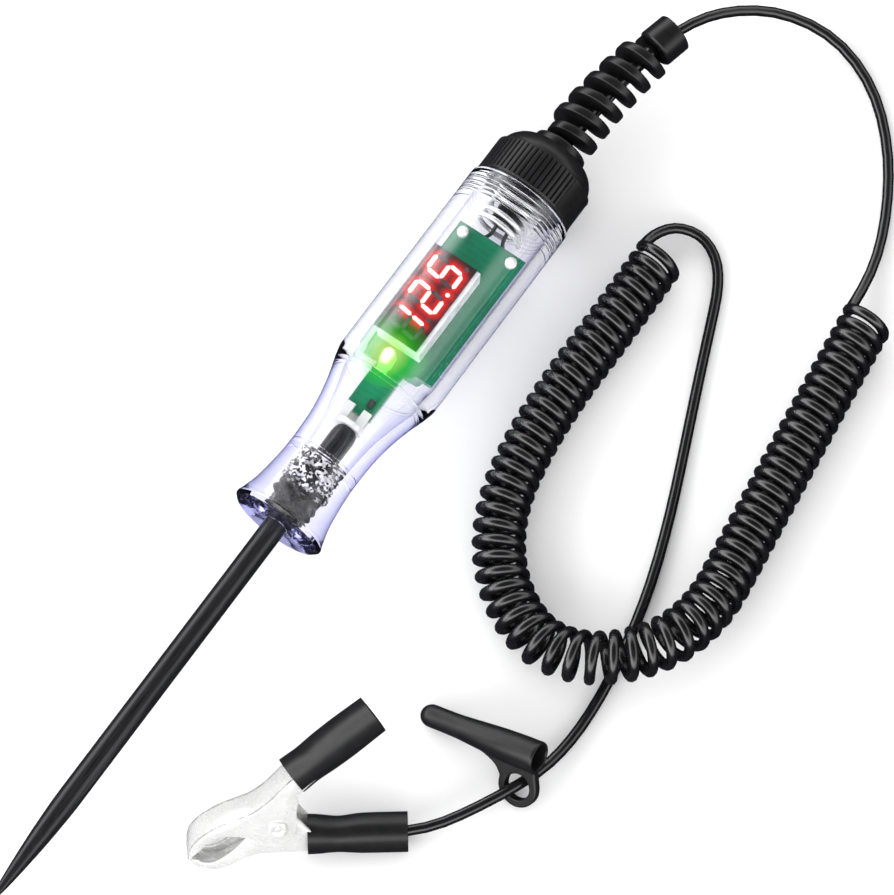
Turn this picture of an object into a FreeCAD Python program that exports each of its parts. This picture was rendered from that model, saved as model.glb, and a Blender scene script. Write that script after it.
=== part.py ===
import FreeCAD, Part
import math
import os
import re

import Sketcher

# A circuit test light: a clear handle with a voltmeter inside, a steel probe, and a coiled lead
# that ends in a spring clip. Row frame: +Y runs along the tool from the probe tip to the lead,
# +Z is up, and the origin lies under the middle of the tool, on the surface that it rests on.

V = FreeCAD.Vector
doc = FreeCAD.newDocument("TestLight")
sheet = doc.addObject("Spreadsheet::Sheet", "Sizes")

# Stations are distances along the tool's axis from the origin, and every size is in millimetres.
SIZES = {
    "axis_height": 12.7,
    "tip_station": -104.7,
    "ogive_end": -77.7,
    "probe_end": 25.8,
    "probe_radius": 2.67,
    "probe_root_radius": 2.2,
    "root_sleeve_radius": 2.85,
    "tip_radius": 0.2,
    "bond_radius": 3.85,
    "bond_start": 0.7,
    "bond_end": 16.5,
    "nose_front": -0.7,
    "rim_radius": 11.15,
    "waist_station": 16.9,
    "waist_radius": 8.65,
    "shoulder_station": 40.4,
    "body_radius": 12.7,
    "body_end": 90.8,
    "wall": 3.0,
    "neck_radius": 10.4,
    "neck_end": 97.8,
    "thread_gap": 0.1,
    "cap_front": 91.4,
    "cap_radius": 12.15,
    "knurl_end": 100.2,
    "cap_end": 104.7,
    "cap_face_radius": 7.8,
    "cap_hole_radius": 6.8,
    "board_top": 11.5,
    "board_thick": 1.6,
    "board_width": 18.0,
    "board_front": 44.7,
    "board_rear": 80.2,
    "tongue_width": 7.0,
    "tongue_front": 30.3,
    "tongue_shift": -1.0,
    "display_length": 23.2,
    "display_width": 11.6,
    "face_width": 10.7,
    "display_deep": 5.6,
    "display_front": 47.4,
    "display_shift": -2.75,
    "face_thick": 0.5,
    "digit_high": 7.0,
    "digit_wide": 3.9,
    "digit_pitch": 7.2,
    "segment_wide": 0.95,
    "segment_thick": 0.06,
    "led_radius": 1.5,
    "led_tall": 4.2,
    "led_shift": -2.4,
    "led_station": 44.4,
    "spring_radius": 5.5,
    "spring_wire": 1.2,
    "spring_turns": 4.5,
    "spring_start": 81.2,
    "seat_front": 91.6,
    "seat_thick": 2.4,
    "seat_core": 3.3,
    "core_front": 84.0,
    "ear_width": 2.1,
    "ear_length": 4.6,
    "yoke_width": 6.4,
    "yoke_sheet": 0.8,
    "post_station": 78.0,
    "post_radius": 1.3,
    "wire_radius": 0.45,
    "boot_radius": 6.35,
    "boot_core": 2.0,
    "boot_flange": 9.4,
    "rib_start": 2.9,
    "rib_radius": 6.4,
    "rib_taper": 0.7,
    "rib_turns": 6.0,
    "rib_root_width": 3.7,
    "boot_collar_end": 106.9,
    "boot_bend_radius": 150.0,
    "boot_bend_degrees": 14.5,
    "boot_tip_radius": 4.65,
    "boot_tip_length": 6.4,
    "rib_width": 2.1,
    "rib_pitch": 4.9,
    "cord_radius": 1.22,
    "coil_radius": 6.0,
    "sheath_mouth_radius": 3.6,
    "sheath_bore": 2.85,
    "sheath_straight": 9.0,
    "sheath_tip_radius": 2.5,
    "lug_thick": 1.9,
    "lug_hole": 3.0,
    "lug_rim": 1.8,
    "lug_drop": 8.2,
    "lug_back": 4.2,
    "jaw_width": 7.8,
    "jaw_sheet": 0.8,
    "jaw_gap": 0.15,
    "rivet_radius": 1.5,
    "clip_boot_radius": 4.2,
    "clip_boot_wall": 0.7,
    "rivet_gap": 0.03,
    "rivet_head": 0.6,
    "spring_coil_wire": 0.45,
    "spring_leg_wire": 0.38,
    "crimp_radius": 1.75,
    "crimp_length": 4.2,
}
for row, (alias, value) in enumerate(SIZES.items(), start=1):
    sheet.set(f"A{row}", alias)
    sheet.set(f"B{row}", str(value))
    sheet.setAlias(f"B{row}", alias)
doc.recompute()


def size(name):
    """A driving dimension, read from the sheet."""
    return float(getattr(sheet, name))


def bound(text):
    """The expression text with each alias made a reference to its cell."""
    return re.sub(
        r"[a-z_]{2,}",
        lambda m: f"Sizes.{m.group()}" if m.group() in SIZES else m.group(),
        str(text),
    )


def number(text):
    """The present value of an expression in the sheet's aliases."""
    return float(sheet.evalExpression(str(text)))


# ---------------------------------------------------------------- helpers


def revolved(label, start, steps):
    """A body revolved about the tool's axis. The outline starts at (radius, station), and each
    step is a line to (radius, station), or an arc through one such point to another."""
    body = doc.addObject("PartDesign::Body", label)
    body.Label = label
    plane = next(f for f in body.Origin.OriginFeatures if f.Role == "XY_Plane")
    sketch = body.newObject("Sketcher::SketchObject", f"{label}_outline")
    sketch.AttachmentSupport = (plane, [""])
    sketch.MapMode = "FlatFace"
    corners = [start] + [step[-1] for step in steps]
    here = V(number(start[0]), number(start[1]), 0)
    for step in steps:
        end = V(number(step[-1][0]), number(step[-1][1]), 0)
        if len(step) == 1:
            sketch.addGeometry(Part.LineSegment(here, end))
        else:
            middle = V(number(step[0][0]), number(step[0][1]), 0)
            turns_left = (middle - here).cross(end - middle).z > 0
            ends = (here, end) if turns_left else (end, here)
            sketch.addGeometry(Part.Arc(ends[0], middle, ends[1]))
        here = end
    count = len(steps)
    opening = [opening_end(sketch.Geometry[index], corners[index]) for index in range(count)]
    for index in range(count):
        after = (index + 1) % count
        join = (index, 3 - opening[index], after, opening[after])
        sketch.addConstraint(Sketcher.Constraint("Coincident", *join))
    for index in range(count):
        for kind, text in zip(("DistanceX", "DistanceY"), corners[index]):
            constraint = Sketcher.Constraint(kind, -1, 1, index, opening[index], number(text))
            place = sketch.addConstraint(constraint)
            sketch.setExpression(f"Constraints[{place}]", bound(text))
    for index, step in enumerate(steps):
        if len(step) == 2:
            pin_arc(sketch, index, step[0])
    sketch.solve()
    revolution = body.newObject("PartDesign::Revolution", f"{label}_turned")
    revolution.Profile = sketch
    revolution.ReferenceAxis = (sketch, ["V_Axis"])
    revolution.Angle = 360
    body.Placement.Base = V(0, 0, number("axis_height"))
    body.setExpression("Placement.Base.z", bound("axis_height"))
    return body


def pin_arc(sketch, index, middle):
    """Makes an arc of the sketch pass through a (radius, station) point."""
    place = V(number(middle[0]), number(middle[1]), 0)
    mark = sketch.addGeometry(Part.Point(place), True)
    sketch.addConstraint(Sketcher.Constraint("PointOnObject", mark, 1, index))
    for kind, text in zip(("DistanceX", "DistanceY"), middle):
        spot = sketch.addConstraint(Sketcher.Constraint(kind, -1, 1, mark, 1, number(text)))
        sketch.setExpression(f"Constraints[{spot}]", bound(text))


def opening_end(edge, corner):
    """Which end of a sketch edge, 1 or 2, lies at a (radius, station) corner."""
    place = V(number(corner[0]), number(corner[1]), 0)
    return 1 if edge.StartPoint.distanceToPoint(place) < 1e-6 else 2


def box(name, width, length, height, x, y, z):
    """A Part::Box whose sizes and lowest corner follow the sheet."""
    made = doc.addObject("Part::Box", name)
    fields = {"Width": length, "Length": width, "Height": height}
    fields.update({"Placement.Base.x": x, "Placement.Base.y": y, "Placement.Base.z": z})
    for field, text in fields.items():
        made.setExpression(field, bound(text))
    return made


def cylinder(name, radius, height, x, y, z):
    """An upright Part::Cylinder whose sizes and base point follow the sheet."""
    made = doc.addObject("Part::Cylinder", name)
    fields = {"Radius": radius, "Height": height}
    fields.update({"Placement.Base.x": x, "Placement.Base.y": y, "Placement.Base.z": z})
    for field, text in fields.items():
        made.setExpression(field, bound(text))
    return made


def fused(label, pieces):
    """One sub-part fused from several document objects."""
    made = doc.addObject("Part::MultiFuse", label)
    made.Label = label
    made.Shapes = pieces
    return made


def feature(label, shape):
    """A sub-part whose shape no single feature makes."""
    made = doc.addObject("Part::Feature", label)
    made.Label = label
    made.Shape = shape
    return made


def rounded_path(points):
    """Straight runs joined by tangent arcs, each as large as its two runs allow, as one wire."""
    corners = [V(*p) for p in points]
    edges = []
    radii = []
    here = corners[0]
    for before, corner, after in zip(corners, corners[1:], corners[2:]):
        back = (before - corner).normalize()
        ahead = (after - corner).normalize()
        half_turn = (math.pi - back.getAngle(ahead)) / 2
        reach = 0.45 * min((corner - before).Length, (after - corner).Length)
        radius = reach / math.tan(half_turn)
        start = corner + back * reach
        end = corner + ahead * reach
        centre_line = (back + ahead).normalize()
        middle = corner + centre_line * (radius / math.cos(half_turn) - radius)
        edges.append(Part.LineSegment(here, start).toShape())
        edges.append(Part.Arc(start, middle, end).toShape())
        radii.append(radius)
        here = end
    edges.append(Part.LineSegment(here, corners[-1]).toShape())
    return Part.Wire(edges), radii


def tube(label, points, radius):
    """A round cord along a rounded path. Prints its bends and tests its volume."""
    path, radii = rounded_path(points)
    start = V(*points[0])
    heading = (V(*points[1]) - start).normalize()
    section = Part.Wire([Part.makeCircle(radius, start, heading)])
    solid = path.makePipeShell([section], True, False)
    expected = math.pi * radius**2 * path.Length
    print(f"{label}: length {path.Length:.1f}, radii {[round(r, 1) for r in radii]}")
    print(f"{label}: volume {solid.Volume:.1f}, section times length {expected:.1f}")
    if abs(solid.Volume / expected - 1) > 0.01:
        raise ValueError(f"{label} has the wrong volume")
    return feature(label, solid)


# ---------------------------------------------------------------- probe and handle


def make_probe():
    """The steel probe, ground to a long point, with its inner end in the handle's neck."""
    steps = [
        [("tip_radius", "tip_station + tip_radius")],
        [("probe_radius * 0.645", "tip_station + 13"), ("probe_radius", "ogive_end")],
        [("probe_radius", "nose_front - 0.5")],
        [("probe_root_radius", "nose_front - 0.5")],
        [("probe_root_radius", "bond_end + 0.2")],
        [("root_sleeve_radius", "bond_end + 0.2")],
        [("root_sleeve_radius", "probe_end")],
        [(0, "probe_end")],
        [(0, "tip_station")],
    ]
    return revolved("probe_shaft", (0, "tip_station"), steps)


def make_bond():
    """The moulded grip sleeve that anchors the probe in the solid nose of the handle."""
    inner = "probe_root_radius + 0.02"
    steps = [
        [("bond_radius", "bond_start")],
        [("bond_radius", "bond_end")],
        [(inner, "bond_end")],
        [(inner, "bond_start")],
    ]
    return revolved("probe_bond", (inner, "bond_start"), steps)


def make_handle():
    """The clear handle: a flared rim, a waist, a shoulder, and a hollow body with a threaded neck."""
    bore = "body_radius - wall"
    mouth = "probe_radius + 0.1"
    pocket = "bond_radius + 0.05"
    steps = [
        [("rim_radius - 0.9", "nose_front")],
        [("rim_radius - 0.2", "nose_front + 0.25"), ("rim_radius", "nose_front + 0.9")],
        [("waist_radius + 0.65", "waist_station - 10.5"), ("waist_radius", "waist_station")],
        [("waist_radius + 0.78", "waist_station + 10"), ("waist_radius + 2.15", "waist_station + 16.5")],
        [("body_radius - 0.72", "shoulder_station - 2.7"), ("body_radius", "shoulder_station")],
        [("body_radius", "body_end - 0.5")],
        [("body_radius - 0.15", "body_end - 0.15"), ("body_radius - 0.5", "body_end")],
        [("neck_radius", "body_end")],
        [("neck_radius", "neck_end")],
        [(bore, "neck_end")],
        [(bore, "shoulder_station - 1.2")],
        [("waist_radius - 1.9", "waist_station + 12"), ("waist_radius - wall", "bond_end + 0.1")],
        [(pocket, "bond_end + 0.1")],
        [(pocket, "bond_start - 0.1")],
        [(mouth, "bond_start - 0.1")],
        [(mouth, "nose_front")],
    ]
    return revolved("handle_shell", (mouth, "nose_front"), steps)


def make_end_cap():
    """The black screw cap with a domed shoulder and a hole that the lead's boot stands in."""
    bore = "neck_radius + thread_gap"
    steps = [
        [("cap_radius", "cap_front")],
        [("cap_radius", "knurl_end")],
        [("cap_radius - 0.9", "knurl_end + 0.4")],
        [("cap_radius - 1.95", "cap_end - 2.0"), ("cap_face_radius", "cap_end")],
        [("cap_hole_radius", "cap_end")],
        [("cap_hole_radius", "neck_end + 0.5")],
        [(bore, "neck_end + 0.5")],
        [(bore, "cap_front")],
    ]
    return revolved("end_cap", (bore, "cap_front"), steps)


def make_seal_ring():
    """The flat ring between the handle's shoulder and the cap."""
    inner = "neck_radius + thread_gap"
    steps = [
        [("cap_radius - 0.35", "body_end + 0.05")],
        [("cap_radius - 0.35", "cap_front - 0.05")],
        [(inner, "cap_front - 0.05")],
        [(inner, "body_end + 0.05")],
    ]
    return revolved("seal_ring", (inner, "body_end + 0.05"), steps)


# ---------------------------------------------------------------- voltmeter


def make_board():
    """The green circuit board, with a tongue towards the probe."""
    plate = box("board_plate", "board_width", "board_rear - board_front", "board_thick",
                "-board_width / 2", "board_front", "board_top - board_thick")
    tongue = box("board_tongue", "tongue_width", "board_front - tongue_front + 1", "board_thick",
                 "tongue_shift - tongue_width / 2", "tongue_front", "board_top - board_thick")
    return fused("circuit_board", [plate, tongue])


def make_display():
    """The display's housing and its dark face."""
    left = "display_shift - face_width / 2"
    housing = box("display_housing", "display_width", "display_length", "display_deep",
                  left, "display_front", "board_top + 0.02")
    face = box("display_face", "face_width", "display_length", "face_thick",
               left, "display_front", "board_top + display_deep + 0.04")
    return [housing, face]


LIT = ["bc", "abged", "acdfg"]
DIGIT_LEAN = math.radians(8)


def segment_outlines():
    """Each digit's seven bars as (letter, start, end) in a digit that is one high and one wide."""
    return [
        ("a", (0, 1), (1, 1)),
        ("b", (1, 0.5), (1, 1)),
        ("c", (1, 0), (1, 0.5)),
        ("d", (0, 0), (1, 0)),
        ("e", (0, 0), (0, 0.5)),
        ("f", (0, 0.5), (0, 1)),
        ("g", (0, 0.5), (1, 0.5)),
    ]


def segment_bar(start, end, base):
    """A six-sided bar between two points of the display's face."""
    half = size("segment_wide") / 2
    along = (end - start).normalize()
    across = V(-along.y, along.x, 0)
    gap = 0.12
    tip_a = start + along * gap
    tip_b = end - along * gap
    rim = [
        tip_a,
        tip_a + along * half + across * half,
        tip_b - along * half + across * half,
        tip_b,
        tip_b - along * half - across * half,
        tip_a + along * half - across * half,
        tip_a,
    ]
    lifted = [V(p.x, p.y, base) for p in rim]
    return Part.Face(Part.makePolygon(lifted)).extrude(V(0, 0, size("segment_thick")))


def make_segments():
    """The bars that glow and the bars that stay dark. Digits stand with their tops towards -X."""
    base = size("board_top") + size("display_deep") + size("face_thick") + 0.05
    middle_y = size("display_front") + size("display_length") / 2
    wide = size("digit_wide")
    high = size("digit_high")
    lit = []
    dark = []

    def place(digit, across, up):
        lean = (up - 0.5) * high * math.tan(DIGIT_LEAN)
        y = middle_y + (digit - 1) * size("digit_pitch") + (across - 0.5) * wide + lean
        return V(size("display_shift") - (up - 0.5) * high, y, 0)

    for digit, letters in enumerate(LIT):
        for letter, start, end in segment_outlines():
            bar = segment_bar(place(digit, *start), place(digit, *end), base)
            (lit if letter in letters else dark).append(bar)
        dot = Part.makeCylinder(0.5, size("segment_thick"), place(digit, 1.42, 0) + V(0, 0, base))
        (lit if digit == 1 else dark).append(dot)
    return [
        feature("lit_segments", Part.makeCompound(lit)),
        feature("dark_segments", Part.makeCompound(dark)),
    ]


# The board's small parts: post places across, chips as (width, length, height, x, y), and resistors.
POST_PLACES = (-6.6, 6.4)
CHIPS = [(5.0, 6.2, 1.5, -3.4, 58.0), (3.9, 4.9, 1.3, -3.2, 70.6), (2.2, 3.0, 1.0, 4.6, 62.0)]
RESISTOR = (1.25, 2.0, 0.55)
RESISTOR_PLACES = [
    (4.2, 50.5), (4.2, 53.3), (4.2, 56.1), (3.2, 73.4), (4.6, 69.0), (-5.6, 49.0), (-5.6, 51.8),
]
TONGUE_RESISTOR_PLACE = (-0.2, 32.7)


def make_led():
    """The round status lamp on the board, and its two legs."""
    barrel = cylinder("led_barrel", "led_radius", "led_tall - led_radius",
                      "led_shift", "led_station", "board_top + 0.6")
    dome = doc.addObject("Part::Sphere", "led_dome")
    dome.setExpression("Radius", bound("led_radius"))
    centre = {"x": "led_shift", "y": "led_station", "z": "board_top + 0.6 + led_tall - led_radius"}
    for letter, text in centre.items():
        dome.setExpression(f"Placement.Base.{letter}", bound(text))
    legs = []
    for index, side in enumerate((-1, 1)):
        station = f"led_station + {0.8 * side}"
        leg = cylinder(f"led_leg_{index}", 0.25, 0.55, "led_shift", station, "board_top + 0.02")
        legs.append(leg)
    return [fused("status_led", [barrel, dome]), fused("led_legs", legs)]


def make_terminal():
    """The steel yoke that joins the probe's inner end to the board's tongue: a cup, a plate under
    the tongue, and two ears above it."""
    top = size("board_top") + 0.02
    under = size("board_top") - size("board_thick") - 0.02 - size("yoke_sheet")
    start = size("probe_end") + 0.05
    left = size("tongue_shift") - size("yoke_width") / 2
    sheet_thick = size("yoke_sheet")
    step = size("yoke_width") - size("ear_width")
    plate = Part.makeBox(size("yoke_width"), size("ear_length") + 1.2, sheet_thick, V(left, start, under))
    ears = [
        Part.makeBox(size("ear_width"), size("ear_length") + 1.2, sheet_thick, V(left + shift, start, top))
        for shift in (0, step)
    ]
    cup = Part.makeCylinder(size("yoke_width") / 2, 1.2, V(0, start, size("axis_height")), V(0, 1, 0))
    bridge = Part.makeBox(size("yoke_width"), 1.2, top - under + sheet_thick, V(left, start, under))
    return feature("probe_terminal", plate.multiFuse(ears + [cup, bridge]).removeSplitter())


def make_board_parts():
    """The bright posts at the board's rear corners, and the chips and resistors under the board."""
    top = size("board_top") + 0.02
    under = size("board_top") - size("board_thick") - 0.02
    radius = size("post_radius")
    posts = []
    for x in POST_PLACES:
        stem = Part.makeCylinder(radius, 1.0, V(x, size("post_station"), top))
        head = Part.makeCone(radius, radius / 2, 0.5, V(x, size("post_station"), top + 1.0))
        posts.append(stem.fuse(head).removeSplitter())
    chips = []
    for wide, long, tall, x, y in CHIPS:
        chips.append(Part.makeBox(wide, long, tall, V(x, y, under - tall)))
    wide, long, tall = RESISTOR
    resistors = [Part.makeBox(long, wide, tall, V(x, y, under - tall)) for x, y in RESISTOR_PLACES]
    resistors.append(Part.makeBox(wide, long, tall, V(*TONGUE_RESISTOR_PLACE, top)))
    return [
        feature("board_posts", Part.makeCompound(posts)),
        feature("board_chips", Part.makeCompound(chips)),
        feature("board_resistors", Part.makeCompound(resistors)),
    ]


def make_spring():
    """The contact spring between the board and the cap end."""
    wire = size("spring_wire")
    length = size("seat_front") - size("spring_start") - wire - 0.1
    helix = Part.makeHelix(length / size("spring_turns"), length, size("spring_radius"))
    section = Part.Wire([Part.makeCircle(wire / 2, V(size("spring_radius"), 0, 0), V(0, 1, 0))])
    coil = Part.Wire(helix.Edges).makePipeShell([section], True, True)
    made = feature("contact_spring", coil)
    base = V(0, size("spring_start") + wire / 2, size("axis_height"))
    made.Placement = FreeCAD.Placement(base, FreeCAD.Rotation(V(1, 0, 0), -90))
    return made


def make_spring_seat():
    """The black plug that closes the handle behind the spring, with its core inside the spring."""
    steps = [
        [("seat_core", "core_front")],
        [("seat_core", "seat_front")],
        [("body_radius - wall - 0.05", "seat_front")],
        [("body_radius - wall - 0.05", "seat_front + seat_thick")],
        [(0, "seat_front + seat_thick")],
        [(0, "core_front")],
    ]
    return revolved("spring_seat", (0, "core_front"), steps)


def make_inner_wires():
    """The two wires from the lead's core to the underside of the board."""
    start_y = size("core_front") - 0.05
    under = size("board_top") - size("board_thick") - size("wire_radius") - 0.04
    wires = []
    for side in (-1, 1):
        route = [
            (side * 1.5, start_y, size("axis_height") - 1.6),
            (side * 1.6, start_y - 2.4, size("axis_height") - 3.2),
            (side * 3.6, size("spring_start") - 1.6, under - 0.7),
            (side * 6.2, size("post_station") - 1.0, under),
        ]
        path, _ = rounded_path(route)
        heading = (V(*route[1]) - V(*route[0])).normalize()
        section = Part.Wire([Part.makeCircle(size("wire_radius"), V(*route[0]), heading)])
        wires.append(path.makePipeShell([section], True, False))
    return feature("inner_wires", Part.makeCompound(wires))


# ---------------------------------------------------------------- lead


def bend_frame(distance):
    """A point on the boot's bent centreline and its heading, a distance beyond the collar."""
    turn = distance / size("boot_bend_radius")
    radius = size("boot_bend_radius")
    x = radius * (1 - math.cos(turn))
    y = size("boot_collar_end") + radius * math.sin(turn)
    return V(x, y, size("axis_height")), V(math.sin(turn), math.cos(turn), 0)


def rib_point(turns, radius, offset):
    """A point on the rib, a number of turns along it and an offset along the boot's centreline."""
    middle, heading = bend_frame(size("rib_start") + size("rib_pitch") * (turns - 0.25) + offset)
    angle = math.pi - math.tau * turns
    across = V(heading.y, -heading.x, 0)
    return middle + across * (radius * math.cos(angle)) + V(0, 0, radius * math.sin(angle))


def boot_rib():
    """The rib that winds round the boot like a screw, wider at its root than at its rim."""
    steps = 24 * int(size("rib_turns"))
    half_root = size("rib_root_width") / 2
    half_rim = size("rib_width") / 2
    root = size("boot_core") - 0.3
    sections = []
    for step in range(steps + 1):
        turns = size("rib_turns") * step / steps
        rim = size("rib_radius") - size("rib_taper") * step / steps
        corners = [(root, -half_root), (rim, -half_rim), (rim, half_rim), (root, half_root)]
        places = [rib_point(turns, radius, offset) for radius, offset in corners]
        sections.append(Part.makePolygon(places + places[:1]))
    rib = Part.makeLoft(sections, True, False)
    if not rib.isValid():
        raise ValueError("the boot's rib is not a sound solid")
    return rib


def make_strain_relief():
    """The lead's flexible boot: a root in the handle's neck, a collar, ribs, and an end ring."""
    axis = size("axis_height")
    root_start = size("seat_front") + size("seat_thick") + 0.02
    along = V(0, 1, 0)
    hole = size("cord_radius") + 0.02
    solids = [
        Part.makeCylinder(size("boot_flange"), 2.4, V(0, root_start, axis), along),
        Part.makeCylinder(
            size("boot_radius"), size("boot_collar_end") - root_start, V(0, root_start, axis), along
        ),
    ]
    reach = size("boot_bend_radius") * math.radians(size("boot_bend_degrees"))
    middle, _ = bend_frame(reach / 2)
    start, _ = bend_frame(0)
    end, heading = bend_frame(reach)
    path = Part.Wire([Part.Arc(start, middle, end).toShape()])
    core = path.makePipeShell([Part.Wire([Part.makeCircle(size("boot_core"), start, along)])], True, False)
    solids.append(core)
    tip_start, tip_heading = bend_frame(reach - size("boot_tip_length"))
    solids.append(Part.makeCylinder(size("boot_tip_radius"), size("boot_tip_length"), tip_start, tip_heading))
    solids.append(boot_rib())
    body = solids[0].multiFuse(solids[1:])
    tip_bore = Part.makeCylinder(hole, 6, end - heading * 4, heading)
    return feature("strain_relief", body.cut(tip_bore).removeSplitter())


# The lead from the boot to the coil, in a stiff arch that comes down to the surface.
LEAD = [
    (3.75, 140.5, 12.7),
    (5.5, 147.2, 12.5),
    (10.8, 156.8, 10.0),
    (20.0, 165.2, 5.6),
    (32.8, 168.2, 2.2),
    (46.2, 163.2, 1.35),
    (57.0, 153.0, 1.35),
    (65.0, 140.6, 1.35),
    (70.4, 127.6, 2.0),
    (72.3, 115.3, 4.0),
]

# The centreline of the coiled stretch: down one side, round the end over the tail, and back up.
COIL = [
    (76.7, 114.6, 6.1),
    (78.3, 101.0, 6.1),
    (80.2, 85.6, 6.1),
    (82.4, 69.0, 6.1),
    (84.6, 52.6, 6.4),
    (86.6, 38.6, 8.4),
    (83.9, 25.6, 11.0),
    (74.6, 14.6, 11.0),
    (62.6, 10.9, 8.0),
    (51.4, 14.6, 6.1),
    (42.0, 22.4, 6.1),
    (35.6, 33.6, 6.1),
    (32.6, 47.8, 6.1),
    (31.4, 64.4, 6.1),
    (31.6, 82.4, 6.1),
    (31.2, 100.2, 6.1),
]

# The tail from the coil's far end, under the coil, through the probe cap's ring, to the clip.
TAIL = [
    (26.6, 100.4, 5.0),
    (26.7, 105.0, 4.6),
    (29.6, 109.6, 3.6),
    (35.2, 111.4, 2.4),
    (40.8, 109.0, 1.6),
    (45.0, 103.4, 1.35),
    (48.8, 94.4, 1.35),
    (54.2, 81.6, 1.35),
    (60.4, 67.4, 1.35),
    (66.8, 52.4, 1.35),
    (72.4, 36.6, 1.35),
    (75.8, 22.2, 1.35),
    (77.8, 8.6, 1.35),
    (78.0, -2.8, 1.5),
    (76.6, -12.6, 3.95),
    (69.9, -27.4, 4.75),
    (63.65, -36.9, 4.1),
    (58.27, -41.1, 4.6),
]


# ---------------------------------------------------------------- probe cap

SHEATH_MOUTH = V(76.4, -10.8, 11.45)
SHEATH_TIP = V(50.5, -14.0, 2.6)
LUG_LEAN = -42


def make_probe_cap():
    """The soft cap that sheathes the probe's point, and rides on the tail by the ring in its lug."""
    length = (SHEATH_MOUTH - SHEATH_TIP).Length
    mouth = size("sheath_mouth_radius")
    tip = size("sheath_tip_radius")
    outline = Part.Wire([
        Part.Arc(V(-tip, 0, 0), V(-tip * 0.707, 0, tip * 0.707), V(0, 0, tip)).toShape(),
        Part.LineSegment(V(0, 0, tip), V(length * 0.25, 0, tip)).toShape(),
        Part.LineSegment(V(length * 0.25, 0, tip), V(length * 0.75, 0, mouth)).toShape(),
        Part.LineSegment(V(length * 0.75, 0, mouth), V(length, 0, mouth)).toShape(),
        Part.LineSegment(V(length, 0, mouth), V(length, 0, 0)).toShape(),
        Part.LineSegment(V(length, 0, 0), V(-tip, 0, 0)).toShape(),
    ])
    sheath = Part.Face(outline).revolve(V(0, 0, 0), V(1, 0, 0), 360)
    depth = size("sheath_straight")
    bore = Part.makeCylinder(size("sheath_bore"), depth + 1, V(length - depth, 0, 0), V(1, 0, 0))
    taper = Part.makeCone(0.7, size("sheath_bore"), length - depth - 1.5, V(1.5, 0, 0), V(1, 0, 0))
    ring_x = length - size("lug_back")
    ring_radius = size("lug_hole") + size("lug_rim")
    drop = size("lug_drop")
    half = size("lug_thick") / 2
    ring = Part.makeCylinder(ring_radius, 2 * half, V(ring_x, -half, -drop), V(0, 1, 0))
    web = Part.Face(Part.Wire([
        Part.LineSegment(V(ring_x + ring_radius, -half, -drop), V(ring_x + 4.0, -half, -1)).toShape(),
        Part.LineSegment(V(ring_x + 4.0, -half, -1), V(ring_x - 12, -half, -1)).toShape(),
        Part.Arc(
            V(ring_x - 12, -half, -1), V(ring_x - 6.6, -half, -4.2), V(ring_x - ring_radius, -half, -drop)
        ).toShape(),
        Part.LineSegment(
            V(ring_x - ring_radius, -half, -drop), V(ring_x + ring_radius, -half, -drop)
        ).toShape(),
    ])).extrude(V(0, 2 * half, 0))
    hole = Part.makeCylinder(size("lug_hole"), 4 * half, V(ring_x, -2 * half, -drop), V(0, 1, 0))
    body = sheath.multiFuse([ring, web]).cut(bore.fuse(taper)).cut(hole)
    made = feature("probe_cap", body.removeSplitter())
    forward = (SHEATH_MOUTH - SHEATH_TIP).normalize()
    side = V(0, 0, 1).cross(forward).normalize()
    upright = forward.cross(side)
    lean = FreeCAD.Rotation(V(1, 0, 0), LUG_LEAN)
    stand = FreeCAD.Rotation(forward, side, upright, "XYZ")
    made.Placement = FreeCAD.Placement(SHEATH_TIP, stand.multiply(lean))
    return made


# ---------------------------------------------------------------- clip
# The clip is drawn with its rivet at the origin: +X to the handles, +Y to the upper handle and
# +Z along the rivet. It is then stood on the surface, leaning on its lower jaw and lower boot.

CLIP_YAW = 38.0
CLIP_PITCH = 4.5
CLIP_ROLL = 58.0
CLIP_PLACE = V(38.05, -53.52, 10.7)


def clip_placement():
    """Where the clip's own frame stands in the row frame."""
    turn = FreeCAD.Rotation(V(0, 0, 1), CLIP_YAW)
    pitch = FreeCAD.Rotation(V(0, 1, 0), CLIP_PITCH)
    roll = FreeCAD.Rotation(V(1, 0, 0), CLIP_ROLL)
    return FreeCAD.Placement(CLIP_PLACE, turn.multiply(pitch).multiply(roll))


def side_face(points, low):
    """A face in the clip's side plane. A point with a third value is the middle of an arc."""
    edges = []
    here = points[0]
    middle = None
    for point in points[1:] + [points[0]]:
        if len(point) == 3:
            middle = point
            continue
        start = V(here[0], here[1], low)
        end = V(point[0], point[1], low)
        if middle is None:
            edges.append(Part.LineSegment(start, end).toShape())
        else:
            edges.append(Part.Arc(start, V(middle[0], middle[1], low), end).toShape())
        here = point
        middle = None
    return Part.Face(Part.Wire(edges))


def channel(outline, back, half_width):
    """Two side plates of the outline, joined by a web that follows the back line."""
    sheet_thick = size("jaw_sheet")
    plates = [
        side_face(outline, half_width - sheet_thick).extrude(V(0, 0, sheet_thick)),
        side_face(outline, -half_width).extrude(V(0, 0, sheet_thick)),
    ]
    web = side_face(back, -half_width).extrude(V(0, 0, 2 * half_width))
    return plates[0].multiFuse([plates[1], web])


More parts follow.
